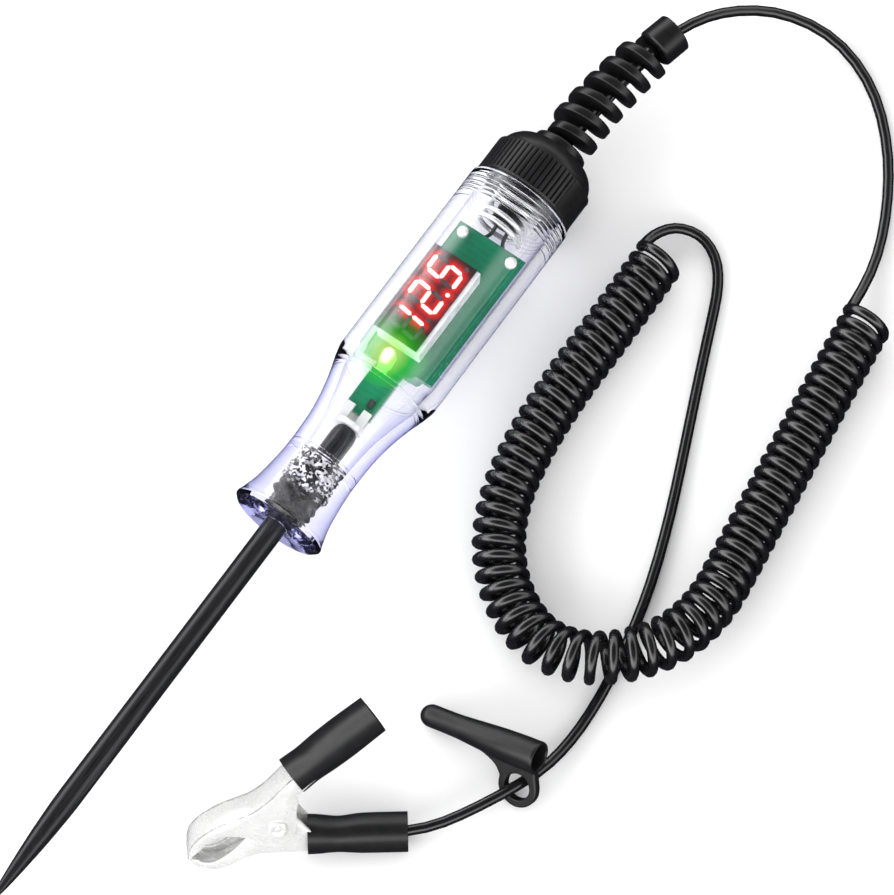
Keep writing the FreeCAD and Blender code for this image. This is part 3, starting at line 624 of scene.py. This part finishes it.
NOSE_FRONT = -0.7
BODY_END = 90.8
NECK_END = 97.8
CAP_FRONT = 91.4
CAP_END = 104.7


def in_mm(outline):
    """An outline given in millimetres, in metres."""
    return [(r * MM, s * MM) for r, s in outline]


def make_handle(material):
    """The clear handle: flared rim, waist, shoulder, body, and fine rings behind the cap."""
    outer = through([(11.15, 0.4), (10.6, 1.9), (9.65, 5.6), (9.0, 10.5), (8.7, 14.5), (8.65, 16.6)], 7)
    outer += [(8.56, 16.7), (8.56, 16.85), (8.65, 16.95)]
    outer += through([(8.65, 17.2), (8.68, 19.5), (8.87, 23.8), (9.45, 28.2), (10.2, 31.8),
                      (11.05, 35.0), (11.5, 36.3)], 7)
    outer += [(11.48, 36.45), (11.6, 36.62), (11.78, 37.3), (11.8, 37.5), (11.95, 37.68), (12.2, 38.7),
              (12.48, 39.8),
              (12.64, 40.5), (12.7, 41.3)]
    rings = []
    for index in range(6):
        base = 84.0 + 0.98 * index
        rings += [(12.69, base), (12.66, base + 0.14), (12.61, base + 0.26), (12.66, base + 0.38),
                  (12.69, base + 0.52)]
    rear = rounded([(12.66, 90.1), (12.66, BODY_END), (10.4, BODY_END), (10.4, NECK_END), (9.7, NECK_END)],
                   [0, 0.5, 0, 0, 0])
    bore = through([(9.7, 40.6), (9.62, 38.9), (9.2, 36.9), (8.5, 34.6), (7.4, 30.6), (6.35, 25.4),
                    (5.8, 20.0), (5.66, 16.62)], 7)
    inner = [(9.7, NECK_END - 0.6), (9.7, 90.0), (9.7, 60.0)] + bore + [(2.3, 16.58), (2.3, 1.0), (2.78, 0.6)]
    front = rounded([(2.8, NOSE_FRONT + 0.05), (10.35, NOSE_FRONT), (11.15, 0.1)], [0, 0.7, 0])
    outline = in_mm(front + outer + [(12.7, 44.0), (12.7, 60.0), (12.7, 83.0)] + rings + rear + inner)
    piece = lathe("clear_handle", outline, material, 144, closed=True)
    smooth_by_angle(piece, 28)
    return settle(piece, "root", "clear_plastic", "handle_shell")


def make_probe(material):
    """The probe: a long ground point on a polished shaft."""
    point = through([(0.04, -104.7), (0.32, -103.9), (1.0, -99.9), (1.5, -95.5), (1.93, -90.6), (2.25, -86.4),
                     (2.48, -82.0), (2.62, -78.6), (2.67, -75.5)], 8)
    rear = [(2.67, -40.0), (2.67, 0.9), (2.2, 1.0), (2.2, 16.65), (2.85, 16.7), (2.85, 23.2),
            (2.78, 24.2), (2.45, 25.3), (1.9, 25.8), (0.04, 25.8)]
    piece = lathe("probe", in_mm(point + rear), material, 64)
    smooth_by_angle(piece, 40)
    return settle(piece, "root", "black_steel", "probe_shaft")


def make_sleeve(material):
    """The crackled sleeve that holds the probe in the clear nose, smooth and black towards the rim."""
    random.seed(7)
    shards = [(random.uniform(0, TAU), random.uniform(6.5, 16.2), random.uniform(0.25, 0.8),
               random.uniform(-1, 1))
              for _ in range(420)]

    def crackled(angle, radius, station):
        here = station / MM
        if radius < 3 * MM:
            return radius
        height = 0.0
        for shard_angle, shard_station, width, lift in shards:
            across = ((angle - shard_angle + math.pi) % TAU - math.pi) * 3.6
            gap = (abs(across) + abs(here - shard_station) * 0.8) / width
            if gap < 1:
                height += lift * (1 - gap)
        wander = 0.25 * math.sin(3 * angle + here) + 0.2 * math.sin(5 * angle - 1.7 * here)
        return radius + max(-0.6, min(0.45, 0.42 * height + wander)) * MM

    stations = [0.75 + 0.2 * step for step in range(79)]
    skin = [(3.35 - 0.25 * math.cos(TAU * s / 20), s) for s in stations]
    outline = [(2.25, 0.75), *skin, (2.25, stations[-1])]
    piece = lathe("grip_sleeve", in_mm(outline), material, 160, closed=True, shape=crackled)
    smooth_by_angle(piece, 24)
    return settle(piece, "root", "grip_sleeve", "probe_bond")


RIDGES = 60
PLAIN_PANEL = (math.radians(-55), math.radians(43))


def make_cap(material):
    """The screw cap: a knurled skirt with one plain panel, a groove and a domed shoulder."""

    def knurled(angle, radius, station):
        here = station / MM
        if radius < 11.9 * MM or not CAP_FRONT + 0.7 < here < 99.8:
            return radius
        if PLAIN_PANEL[0] < (angle + math.pi) % TAU - math.pi < PLAIN_PANEL[1]:
            return radius - 0.12 * MM
        wave = abs(math.sin(RIDGES * angle / 2))
        return radius - 0.5 * MM * max(0.0, 1 - wave / 0.62)

    skirt = [(12.15, 92.15), (12.15, 94.6), (12.15, 97.1), (12.15, 99.7)]
    dome = through([(11.3, 100.55), (11.15, 101.3), (10.6, 102.4), (9.7, 103.5), (8.7, 104.3),
                    (7.8, 104.66)], 5)
    outline = (
        [(10.5, CAP_FRONT), (11.75, CAP_FRONT), (12.05, CAP_FRONT + 0.25), (12.15, CAP_FRONT + 0.6)]
        + skirt
        + [(12.1, 99.95), (11.85, 100.15), (11.35, 100.22)]
        + dome
        + [(7.0, CAP_END), (6.82, CAP_END - 0.15), (6.8, 98.3), (10.5, 98.3)]
    )
    piece = lathe("screw_cap", in_mm(outline), material, RIDGES * 10, closed=True, shape=knurled)
    smooth_by_angle(piece, 35)
    return settle(piece, "cap", "black_plastic", "end_cap")


# ---------------------------------------------------------------- boot on the lead

COLLAR_END = 106.9
BEND_RADIUS = 150.0
RIB_TURNS = 6.0
RIB_PITCH = 4.9
RIB_START = 2.9


def bent(distance):
    """A point on the boot's bent axis, its heading, its side and up, a distance past the collar."""
    turn = max(distance, 0) / BEND_RADIUS
    straight = min(distance, 0)
    origin = Vector((
        BEND_RADIUS * (1 - math.cos(turn)),
        COLLAR_END + straight + BEND_RADIUS * math.sin(turn),
        AXIS / MM,
    ))
    heading = Vector((math.sin(turn), math.cos(turn), 0))
    return origin * MM, heading, heading.cross(UP), UP


def tube_along(name, profile, material, steps=48):
    """A turned shape about the boot's bent axis. The profile is (radius, distance) pairs."""
    verts = []
    for radius, distance in profile:
        origin, _, side, up = bent(distance)
        for step in range(steps):
            angle = TAU * step / steps
            verts.append(origin + (side * math.cos(angle) + up * math.sin(angle)) * radius * MM)
    faces = ring_faces(len(profile), steps, True)
    return mesh_piece(name, verts, faces, material)


def make_boot(material, cord_skin):
    """The lead's boot: a collar, an open spiral rib that narrows towards the lead, and an end ring."""
    collar = tube_along("collar", rounded([(1.45, -8), (6.3, -8), (6.38, -1.9), (6.38, 0.0), (3.2, 0.7),
                                           (1.45, 0.7)],
                                          [0, 0.3, 0.4, 0.6, 0.5, 0], 4), material)
    ring = tube_along("ring", rounded([(1.4, 31.4), (4.2, 31.5), (4.66, 32.0), (4.62, 37.95),
                                       (3.4, 37.95), (1.4, 37.7)],
                                      [0, 0.3, 0.3, 0.35, 0.2, 0], 4), material)
    per_turn = 40
    count = int(RIB_TURNS * per_turn)
    foot = 1.7 * MM
    half_foot = 1.85 * MM
    half_rim = 1.06 * MM
    lip = 0.34 * MM
    chip = 0.1 * MM
    verts = []
    for step in range(count + 1):
        share = step / count
        distance = RIB_START + RIB_PITCH * (RIB_TURNS * share - 0.25)
        angle = math.pi - TAU * RIB_TURNS * share
        origin, heading, side, up = bent(distance)
        out = side * math.cos(angle) + up * math.sin(angle)
        fade = min(1.0, share * 30, (1 - share) * 30)
        rim = (4.4 + (2.05 - 0.75 * share) * fade) * MM
        for radius, offset in (
            (foot, -half_foot), (rim - lip, -half_rim), (rim - chip, -half_rim + chip),
            (rim, -half_rim + lip), (rim, half_rim - lip), (rim - chip, half_rim - chip),
            (rim - lip, half_rim), (foot, half_foot),
        ):
            verts.append(origin + out * radius + heading * offset)
    faces = ring_faces(count + 1, 8)
    faces.append(tuple(reversed(range(8))))
    faces.append(tuple(range(count * 8, count * 8 + 8)))
    rib = mesh_piece("rib", verts, faces, material)
    fix_normals(rib)
    smooth_by_angle(rib, 50)
    lead = tube_along("inner_lead", [(1.7, -7)] + [(1.7, station) for station in range(0, 31, 6)]
                      + [(1.7, 32.4), (0.9, 32.4), (0.9, -7)], cord_skin, 24)
    boot = join_pieces("lead_boot", [collar, ring, rib, lead])
    return settle(boot, "root", "black_rubber", "strain_relief")


# ---------------------------------------------------------------- voltmeter details


def box_piece(name, low, high, material, width=0.1 * MM):
    """A box with rounded edges between two corners."""
    (x0, y0, z0), (x1, y1, z1) = low, high
    verts = [(x, y, z) for z in (z0, z1) for y in (y0, y1) for x in (x0, x1)]
    faces = [(0, 2, 3, 1), (4, 5, 7, 6), (0, 1, 5, 4), (2, 6, 7, 3), (0, 4, 6, 2), (1, 3, 7, 5)]
    piece = mesh_piece(name, verts, faces, material, smooth=False)
    bevel(piece, width, 2)
    apply_modifiers(piece)
    return piece


def make_display(face_material, housing_material):
    """The display's housing, and its face with light spread round the lit bars."""
    low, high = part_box("display_housing")
    housing = box_piece("display_case", low, high, housing_material, 0.25 * MM)
    settle(housing, "root", "white_plastic", "display_housing")
    low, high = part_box("display_face")
    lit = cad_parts["lit_segments"].data
    spots = []
    shares = (0.0, 0.33, 0.67, 1.0)
    for polygon in lit.polygons:
        if polygon.normal.z > 0.9:
            corners = [lit.vertices[index].co for index in polygon.vertices]
            spots += [polygon.center.lerp(corner, share) for corner in corners for share in shares]
            spots += [a.lerp(b, 0.5) for a, b in zip(corners, corners[1:] + corners[:1])]
    across, along = 54, 112
    verts, faces = [], []
    for j in range(along + 1):
        for i in range(across + 1):
            verts.append((low.x + (high.x - low.x) * i / across, low.y + (high.y - low.y) * j / along,
                          high.z))
    for j in range(along):
        for i in range(across):
            base = j * (across + 1) + i
            faces.append((base, base + 1, base + across + 2, base + across + 1))
    rim_low = len(verts)
    edge = [(low.x, low.y), (high.x, low.y), (high.x, high.y), (low.x, high.y)]
    verts += [(x, y, low.z) for x, y in edge] + [(x, y, high.z) for x, y in edge]
    for side in range(4):
        other = (side + 1) % 4
        faces.append((rim_low + side, rim_low + other, rim_low + 4 + other, rim_low + 4 + side))
    faces.append(tuple(rim_low + side for side in (3, 2, 1, 0)))
    face = mesh_piece("display_window", verts, faces, face_material, smooth=False)
    glow = face.data.attributes.new("glow", "FLOAT", "POINT")
    spread = 1.1 * MM
    values = []
    for x, y, _ in verts:
        nearest = min((x - c.x) ** 2 + (y - c.y) ** 2 for c in spots)
        values.append(math.exp(-nearest / spread**2))
    glow.data.foreach_set("value", values)
    settle(face, "root", "display_black", "display_face")


def make_lamp(material):
    """The round green lamp: a collar, a barrel and a dome."""
    low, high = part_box("status_led")
    centre = (low + high) / 2
    radius = (high.x - low.x) / 2
    base = low.z
    profile = [(0.02 * MM, base), (radius * 1.12, base), (radius * 1.12, base + 0.5 * MM),
               (radius, base + 0.55 * MM),
               (radius, high.z - radius)]
    for step in range(1, 9):
        angle = step / 8 * math.pi / 2
        profile.append((max(radius * math.cos(angle), 0.02 * MM), high.z - radius + radius * math.sin(angle)))
    steps = 32
    verts = turned(profile, steps, centre)
    lamp = mesh_piece("green_lamp", verts, ring_faces(len(profile), steps), material)
    return settle(lamp, "root", "led_green", "status_led")


def make_halo(material):
    """The reach of the lamp's glow: a shallow lens over the lamp, inside the clear body's bore."""
    steps, rings = 48, 14
    centre = Vector((LAMP.x, LAMP.y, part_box("lit_segments")[1].z + 0.25 * MM))
    left = -8.0 * MM
    verts = []
    for top in (True, False):
        for ring in range(1, rings + (1 if top else 0)):
            share = ring / rings
            for step in range(steps):
                angle = TAU * step / steps
                reach = 8.6 * MM * share
                lift = 0.5 * MM * (1 - share**2) if top else 0.0
                x = max(centre.x + reach * math.cos(angle), left)
                verts.append((x, centre.y + reach * math.sin(angle), centre.z + lift))
    upper = [list(range(ring * steps, (ring + 1) * steps)) for ring in range(rings)]
    lower = [list(range((rings + ring) * steps, (rings + ring + 1) * steps)) for ring in range(rings - 1)]
    loops = upper + list(reversed(lower))
    faces = [tuple(loops[0]), tuple(reversed(loops[-1]))]
    for inner, outer in zip(loops, loops[1:]):
        for step in range(steps):
            other = (step + 1) % steps
            faces.append((inner[step], outer[step], outer[other], inner[other]))
    halo = mesh_piece("lamp_halo", verts, faces, material)
    fix_normals(halo)
    halo.visible_shadow = False
    return settle(halo, "root", "led_green")


def fix_normals(piece):
    """Turns every face outwards."""
    data = bmesh.new()
    data.from_mesh(piece.data)
    bmesh.ops.recalc_face_normals(data, faces=data.faces)
    data.to_mesh(piece.data)
    data.free()


def make_spring(material):
    """The contact spring, wound round the black core."""
    low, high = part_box("contact_spring")
    wire = 0.6 * MM
    radius = (high.x - low.x) / 2 - wire
    turns = 4.5
    points = []
    for step in range(int(turns * 16) + 1):
        share = step / (turns * 16)
        angle = TAU * turns * share
        station = low.y + wire + (high.y - low.y - 2 * wire) * share
        points.append((radius * math.cos(angle) * 1.02, station, AXIS + radius * math.sin(angle) * 1.02))
    spring = nurbs("contact_coil", points, wire, 4)
    spring.data.materials.append(material)
    return settle(spring, "root", "bright_steel", "contact_spring")


# ---------------------------------------------------------------- probe cap

SHEATH_MOUTH = Vector((76.4, -10.8, 11.45)) * MM
SHEATH_TIP = Vector((50.5, -14.0, 2.6)) * MM
LUG_LEAN = math.radians(-42)


def make_probe_cap(material):
    """The soft cap for the probe's point, with a web and a ring moulded under its mouth."""
    length = (SHEATH_MOUTH - SHEATH_TIP).length / MM
    nose = [(0.05, -2.5), (1.0, -2.29), (1.8, -1.72), (2.3, -0.9), (2.5, 0.0)]
    outer = through(nose + [(2.52, 3.5), (2.62, 7.5), (3.0, 12.5), (3.38, 18.0), (3.56, 23.0),
                            (3.6, length - 0.5)], 5)
    mouth = [(3.5, length - 0.12), (3.3, length), (3.0, length - 0.05), (2.87, length - 0.3)]
    bore = [(2.85, length - 9.0), (1.9, length - 17.5), (0.7, 2.0), (0.05, 1.5)]
    steps = 64
    verts = []
    outline = outer + mouth + bore
    for radius, station in outline:
        for step in range(steps):
            angle = TAU * step / steps
            verts.append((station, radius * math.cos(angle), radius * math.sin(angle)))
    faces = ring_faces(len(outline), steps)
    sheath = mesh_piece("sheath", verts, faces, material)
    ring_x, drop, rim, hole, half = length - 4.2, 8.2, 4.8, 3.0, 0.95
    outline = []
    for step in range(33):
        angle = math.radians(10) - math.pi * step / 32 * 1.14
        outline.append((ring_x + rim * math.cos(angle), -drop + rim * math.sin(angle)))
    outline += through([outline[-1], (ring_x - 6.2, -4.9), (ring_x - 9.6, -3.3), (ring_x - 15.0, -2.2)],
                       6)[1:]
    outline += [(ring_x - 15.0, -1.9), (ring_x - 8, -3.05), (ring_x + 3.7, -3.15), (ring_x + 4.0, -4.2)]
    eye = [(ring_x + hole * math.cos(TAU * s / 48), -drop + hole * math.sin(TAU * s / 48)) for s in range(48)]
    lug = plate_with_hole("lug", outline, eye, half, material)
    cap = join_pieces("probe_point_cap", [sheath, lug])
    remesh = cap.modifiers.new("remesh", "REMESH")
    remesh.mode = "VOXEL"
    remesh.voxel_size = 0.16
    remesh.use_smooth_shade = True
    soften = cap.modifiers.new("soften", "SMOOTH")
    soften.factor = 0.5
    soften.iterations = 9
    apply_modifiers(cap)
    forward = (SHEATH_MOUTH - SHEATH_TIP).normalized()
    side = UP.cross(forward).normalized()
    stand = Matrix((forward, side, forward.cross(side))).transposed()
    turn = (stand @ Matrix.Rotation(LUG_LEAN, 3, "X")).to_4x4()
    place = Matrix.Translation(SHEATH_TIP) @ turn @ Matrix.Scale(MM, 4)
    cap.data.transform(place)
    assign(cap, material)
    for polygon in cap.data.polygons:
        polygon.use_smooth = True
    return settle(cap, "sheath", "soft_black", "probe_cap")


def plate_with_hole(name, outline, hole, half, material):
    """A flat plate in the XZ plane, from -half to half along Y, with one hole."""
    data = bpy.data.curves.new(name, "CURVE")
    data.dimensions = "2D"
    data.fill_mode = "BOTH"
    data.extrude = half
    for points in (outline, hole):
        spline = data.splines.new("POLY")
        spline.points.add(len(points) - 1)
        spline.use_cyclic_u = True
        for spot, (a, b) in zip(spline.points, points):
            spot.co = (a, b, 0, 1)
    guide = bpy.data.objects.new(name, data)
    bpy.context.scene.collection.objects.link(guide)
    bpy.context.view_layer.update()
    mesh = bpy.data.meshes.new_from_object(guide)
    bpy.data.objects.remove(guide)
    mesh.transform(Matrix.Rotation(math.pi / 2, 4, "X"))
    piece = bpy.data.objects.new(name, mesh)
    bpy.context.scene.collection.objects.link(piece)
    weld(piece)
    assign(piece, material)
    return piece


def weld(piece, distance=1e-5):
    """Merges vertices that lie in one place."""
    modifier = piece.modifiers.new("weld", "WELD")
    modifier.merge_threshold = distance
    apply_modifiers(piece)


# ---------------------------------------------------------------- clip

CLIP_TURN = (
    Matrix.Rotation(math.radians(38.0), 4, "Z")
    @ Matrix.Rotation(math.radians(4.5), 4, "Y")
    @ Matrix.Rotation(math.radians(58.0), 4, "X")
)
CLIP_PLACE = Matrix.Translation(Vector((38.05, -53.52, 10.7)) * MM) @ CLIP_TURN @ Matrix.Scale(MM, 4)

UPPER_BACK = [(-18.9, -8.3), (-18.2, -4.9), (-15.9, -1.9), (-12.4, 0.7), (-8.4, 2.7), (-5.4, 4.2),
              (-2.0, 7.4),
              (2.6, 13.2), (9.6, 20.0)]
UPPER_FRONT = [(11.7, 17.9), (4.8, 10.0), (4.2, 6.8), (3.9, 4.0), (4.1, 1.0), (3.2, -2.4), (0.4, -4.3),
               (-3.4, -3.2),
               (-8.0, -2.1), (-11.6, -2.0), (-14.6, -3.4), (-16.2, -5.4)]
LOWER_BACK = [(-19.0, -8.7), (-16.9, -10.9), (-13.6, -11.9), (-10.4, -11.0), (-7.6, -9.2), (-4.6, -7.9),
              (-2.0, -7.5),
              (7.0, -7.3), (16.0, -7.3)]
LOWER_FRONT = [(16.0, -3.9), (8.4, -2.6), (4.6, 1.4), (2.8, 3.0), (0.6, 3.4), (-1.6, 2.5), (-3.4, 0.6),
               (-6.4, -2.9),
               (-9.2, -6.6), (-12.6, -9.5), (-15.2, -9.9), (-16.8, -9.0)]
JAW_HALF = 3.9
SHEET = 0.8


def flank(name, back, front, low, high, material):
    """One side plate of a jaw, between two heights along the rivet."""
    rim = through(back, 5) + through(front, 5)
    count = len(rim)
    verts = [(x, y, low) for x, y in rim] + [(x, y, high) for x, y in rim]
    faces = [tuple(reversed(range(count))), tuple(range(count, 2 * count))]
    for step in range(count):
        other = (step + 1) % count
        faces.append((step, other, count + other, count + step))
    return mesh_piece(name, verts, faces, material, smooth=False)


def web(name, back, half, thick_side, material):
    """The jaw's bent back: a strip of sheet that follows the back line."""
    line = [Vector((x, y, 0)) for x, y in through(back, 5)]
    verts = []
    for index, here in enumerate(line):
        ahead = line[min(index + 1, len(line) - 1)] - line[max(index - 1, 0)]
        inward = Vector((ahead.y, -ahead.x, 0)).normalized() * thick_side
        for spot, height in ((here, -half), (here, half), (here + inward * SHEET, half),
                             (here + inward * SHEET, -half)):
            verts.append((spot.x, spot.y, height))
    faces = ring_faces(len(line), 4)
    faces.append((3, 2, 1, 0))
    last = 4 * (len(line) - 1)
    faces.append((last, last + 1, last + 2, last + 3))
    return mesh_piece(name, verts, faces, material, smooth=False)


def make_jaw(name, back, front, half, side, material):
    """A stamped jaw: two side plates and the bent back between them."""
    parts = [
        flank("flank_a", back, front, half - SHEET, half, material),
        flank("flank_b", back, front, -half, -half + SHEET, material),
        web("web", back, half - 0.02, side, material),
    ]
    jaw = join_pieces(name, parts)
    bevel(jaw, 0.11, 2, 35)
    apply_modifiers(jaw)
    jaw.data.transform(CLIP_PLACE)
    smooth_by_angle(jaw, 35)
    return jaw


def make_boot_tube(name, start, end, shape, material, body, node):
    """A soft sleeve over a handle. shape(share) gives its half width, half height and a sideways
    shift at a share of its length."""
    start, end = Vector(start), Vector(end)
    along = (end - start).normalized()
    across = Vector((0, 0, 1))
    upward = across.cross(along).normalized()
    sight = (CLIP_TURN.to_3x3().inverted() @ SIGHT).normalized()
    slope = along.dot(sight)
    lean = sight * slope / (1 - slope**2)
    steps, rings = 48, 40
    power = 0.86
    verts = []
    spots = [(i / rings, 0.0) for i in range(rings + 1)] + [(1.0, 0.7), (0.94, 0.8), (0.5, 0.9)]
    for share, inset in spots:
        half_wide, half_high, shift = shape(share)
        centre = start.lerp(end, share) + upward * shift
        for step in range(steps):
            angle = TAU * step / steps
            cos, sin = math.cos(angle), math.sin(angle)
            a = math.copysign(abs(cos) ** power, cos) * (half_wide - inset)
            b = math.copysign(abs(sin) ** power, sin) * (half_high - inset)
            spot = across * a + upward * b
            verts.append(centre + spot + along * spot.dot(lean))
    faces = ring_faces(len(spots), steps)
    piece = mesh_piece(name, verts, faces, material)
    piece.data.transform(CLIP_PLACE)
    smooth_by_angle(piece, 50)
    return settle(piece, body, "soft_black", node)


def make_rivet(material):
    """The eyelet that the jaws turn on, with rolled heads."""
    head = [(0.05, 0.32), (0.55, 0.3), (0.85, 0.12), (1.1, 0.28), (1.35, 0.5), (1.7, 0.52), (2.0, 0.34),
            (2.1, 0.05)]
    seat = 3.95
    profile = [(r, seat + z) for r, z in head] + [(1.5, seat), (1.5, -seat)]
    profile += [(r, -seat - z) for r, z in reversed(head)]
    steps = 40
    verts = turned(profile, steps)
    rivet = mesh_piece("eyelet", verts, ring_faces(len(profile), steps), material)
    rivet.data.transform(CLIP_PLACE)
    return settle(rivet, "root", "nickel_steel", "clip_rivet")


def upper_boot_shape(share):
    """The upper sleeve: flat over the jaw's channel, rounder towards its open end."""
    swell = math.exp(-((share - 0.62) / 0.3) ** 2)
    return 4.25 + 0.1 * swell, 4.1 + 0.25 * swell - 0.25 * math.exp(-((share - 0.2) / 0.12) ** 2), 0.0


def lower_boot_shape(share):
    """The lower sleeve: drawn in behind the jaw, where the thin handle ends."""
    dip = math.exp(-((share - 0.3) / 0.16) ** 2)
    return 4.2 - 0.3 * dip, 4.1 - 0.55 * dip, -0.15 * dip


# ---------------------------------------------------------------- stage


def area_light(name, place, target, size, power, colour=(1, 1, 1)):
    """A soft rectangular lamp that faces a target."""
    data = bpy.data.lights.new(name, "AREA")
    data.shape = "RECTANGLE"
    data.size, data.size_y = size
    data.energy = power
    data.color = colour
    lamp = bpy.data.objects.new(name, data)
    bpy.context.scene.collection.objects.link(lamp)
    lamp.location = place
    lamp.rotation_euler = (Vector(place) - Vector(target)).to_track_quat("Z", "Y").to_euler()
    return lamp


BRIGHT_SIDE = (-0.5, -0.87, 0.0)
DIM, BRIGHT = 1.3, 4.2
SKY_BAND = ((0.14, (0.012, 0.012, 0.016)), (0.26, (1, 1, 1)), (0.58, (1, 1, 1)), (0.8, (0.02, 0.02, 0.02)))


def make_stage():
    """A pale floor, one soft lamp above, and a studio with a bright band between a dark floor and ceiling."""
    made = Shader("floor_paint", Roughness=0.9, Specular_IOR_Level=0.1)
    made.link("Base Color", made.ramp(made.noise(3), 0.3, 0.7, ((0.95, 0.95, 0.95), (0.97, 0.97, 0.97))))
    reach = 3.0
    floor = mesh_piece("floor", [(-reach, -reach, 0), (reach, -reach, 0), (reach, reach, 0),
                                 (-reach, reach, 0)],
                       [(0, 1, 2, 3)], made.material, smooth=False)
    floor.visible_glossy = False
    target = Vector((30, 30, 5)) * MM
    top = area_light("top", (0.0, 0.0, 1.9), target, (2.2, 2.2), 14.0)
    top.visible_glossy = False
    top.visible_transmission = False
    world = bpy.data.worlds.new("studio")
    world.use_nodes = True
    tree = world.node_tree
    background = tree.nodes["Background"]
    where = add_node(tree, "TexCoord").outputs["Generated"]
    height = add_node(tree, "SeparateXYZ", {"Vector": where}).outputs["Z"]
    side = add_node(tree, "VectorMath", {0: where, 1: BRIGHT_SIDE}, operation="DOT_PRODUCT").outputs["Value"]
    level = add_node(tree, "MapRange", {
        "Value": side, "From Min": -0.9, "From Max": 0.9, "To Min": DIM, "To Max": BRIGHT,
    })
    tree.links.new(level.outputs[0], background.inputs["Strength"])
    tree.links.new(colour_stops(tree, height, SKY_BAND), background.inputs["Color"])
    plain = add_node(tree, "Background", {"Color": (0.95, 0.95, 0.95, 1)})
    camera_ray = add_node(tree, "LightPath").outputs["Is Camera Ray"]
    choice = add_node(tree, "MixShader", {0: camera_ray, 1: background.outputs[0], 2: plain.outputs[0]})
    tree.links.new(choice.outputs[0], tree.nodes["World Output"].inputs["Surface"])
    scene = bpy.context.scene
    scene.world = world
    scene.view_settings.view_transform = "Standard"
    scene.cycles.max_bounces = 24
    scene.cycles.transmission_bounces = 20
    scene.cycles.transparent_max_bounces = 24
    scene.cycles.glossy_bounces = 8


# ---------------------------------------------------------------- build

make_camera()
cord_skin = cord_material()
lead, lead_length = make_cord(cord_skin)
nickel = nickel_material()
steel = nickel_material("spring_steel", (0.85, 0.85, 0.85), 0.2, 0.7)
tin = nickel_material("bright_tin", (0.9, 0.9, 0.88), 0.3, 0.3)
rubber = black_plastic("boot_rubber", (0.005, 0.005, 0.0055), 0.3)
soft = black_plastic("soft_pvc", (0.006, 0.006, 0.0065), 0.36, 6000, 0.14)
hard = black_plastic("cap_plastic", (0.006, 0.006, 0.0065), 0.38, 12000, 0.2)
chip = black_plastic("chip_plastic", (0.02, 0.02, 0.02), 0.5)

boot = make_boot(rubber, cord_skin)
make_handle(clear_material())
make_probe(probe_material())
make_sleeve(crackle_material())
make_cap(hard)
make_display(display_material(), black_plastic("white_case", (0.72, 0.72, 0.72), 0.4, 3000))
make_lamp(lamp_material())
make_halo(halo_material())
make_spring(steel)
cap = make_probe_cap(soft)

upper_jaw = make_jaw("jaw_upper", UPPER_BACK, UPPER_FRONT, JAW_HALF, 1, nickel)
settle(upper_jaw, "upper_jaw", "nickel_steel", "clip_upper_jaw")
lower_jaw = make_jaw("jaw_lower", LOWER_BACK, LOWER_FRONT, JAW_HALF - SHEET - 0.15, -1, nickel)
settle(lower_jaw, "root", "nickel_steel", "clip_lower_jaw")
rivet = make_rivet(nickel)
upper_boot = make_boot_tube("sleeve_upper", (2.9, 11.5, 0), (19.66, 28.12, 0), upper_boot_shape, soft,
                            "upper_jaw", "clip_upper_boot")
lower_boot = make_boot_tube("sleeve_lower", (6.8, -5.0, 0), (28.2, -5.0, 0), lower_boot_shape, soft,
                            "root", "clip_lower_boot")

for node, material in {
    "circuit_board": board_material(),
    "lit_segments": glow_material("lit_bars", (1.0, 0.6, 0.55), 1.35, (1.0, 0.3, 0.25)),
    "dark_segments": black_plastic("dark_bars", (0.05, 0.042, 0.042), 0.4),
    "led_legs": steel,
    "probe_terminal": tin,
    "board_posts": tin,
    "board_chips": chip,
    "board_resistors": chip,
    "spring_seat": hard,
    "inner_wires": chip,
    "seal_ring": rubber,
    "clip_spring": steel,
    "clip_crimp": nickel,
}.items():
    assign(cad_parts[node], material)

make_stage()
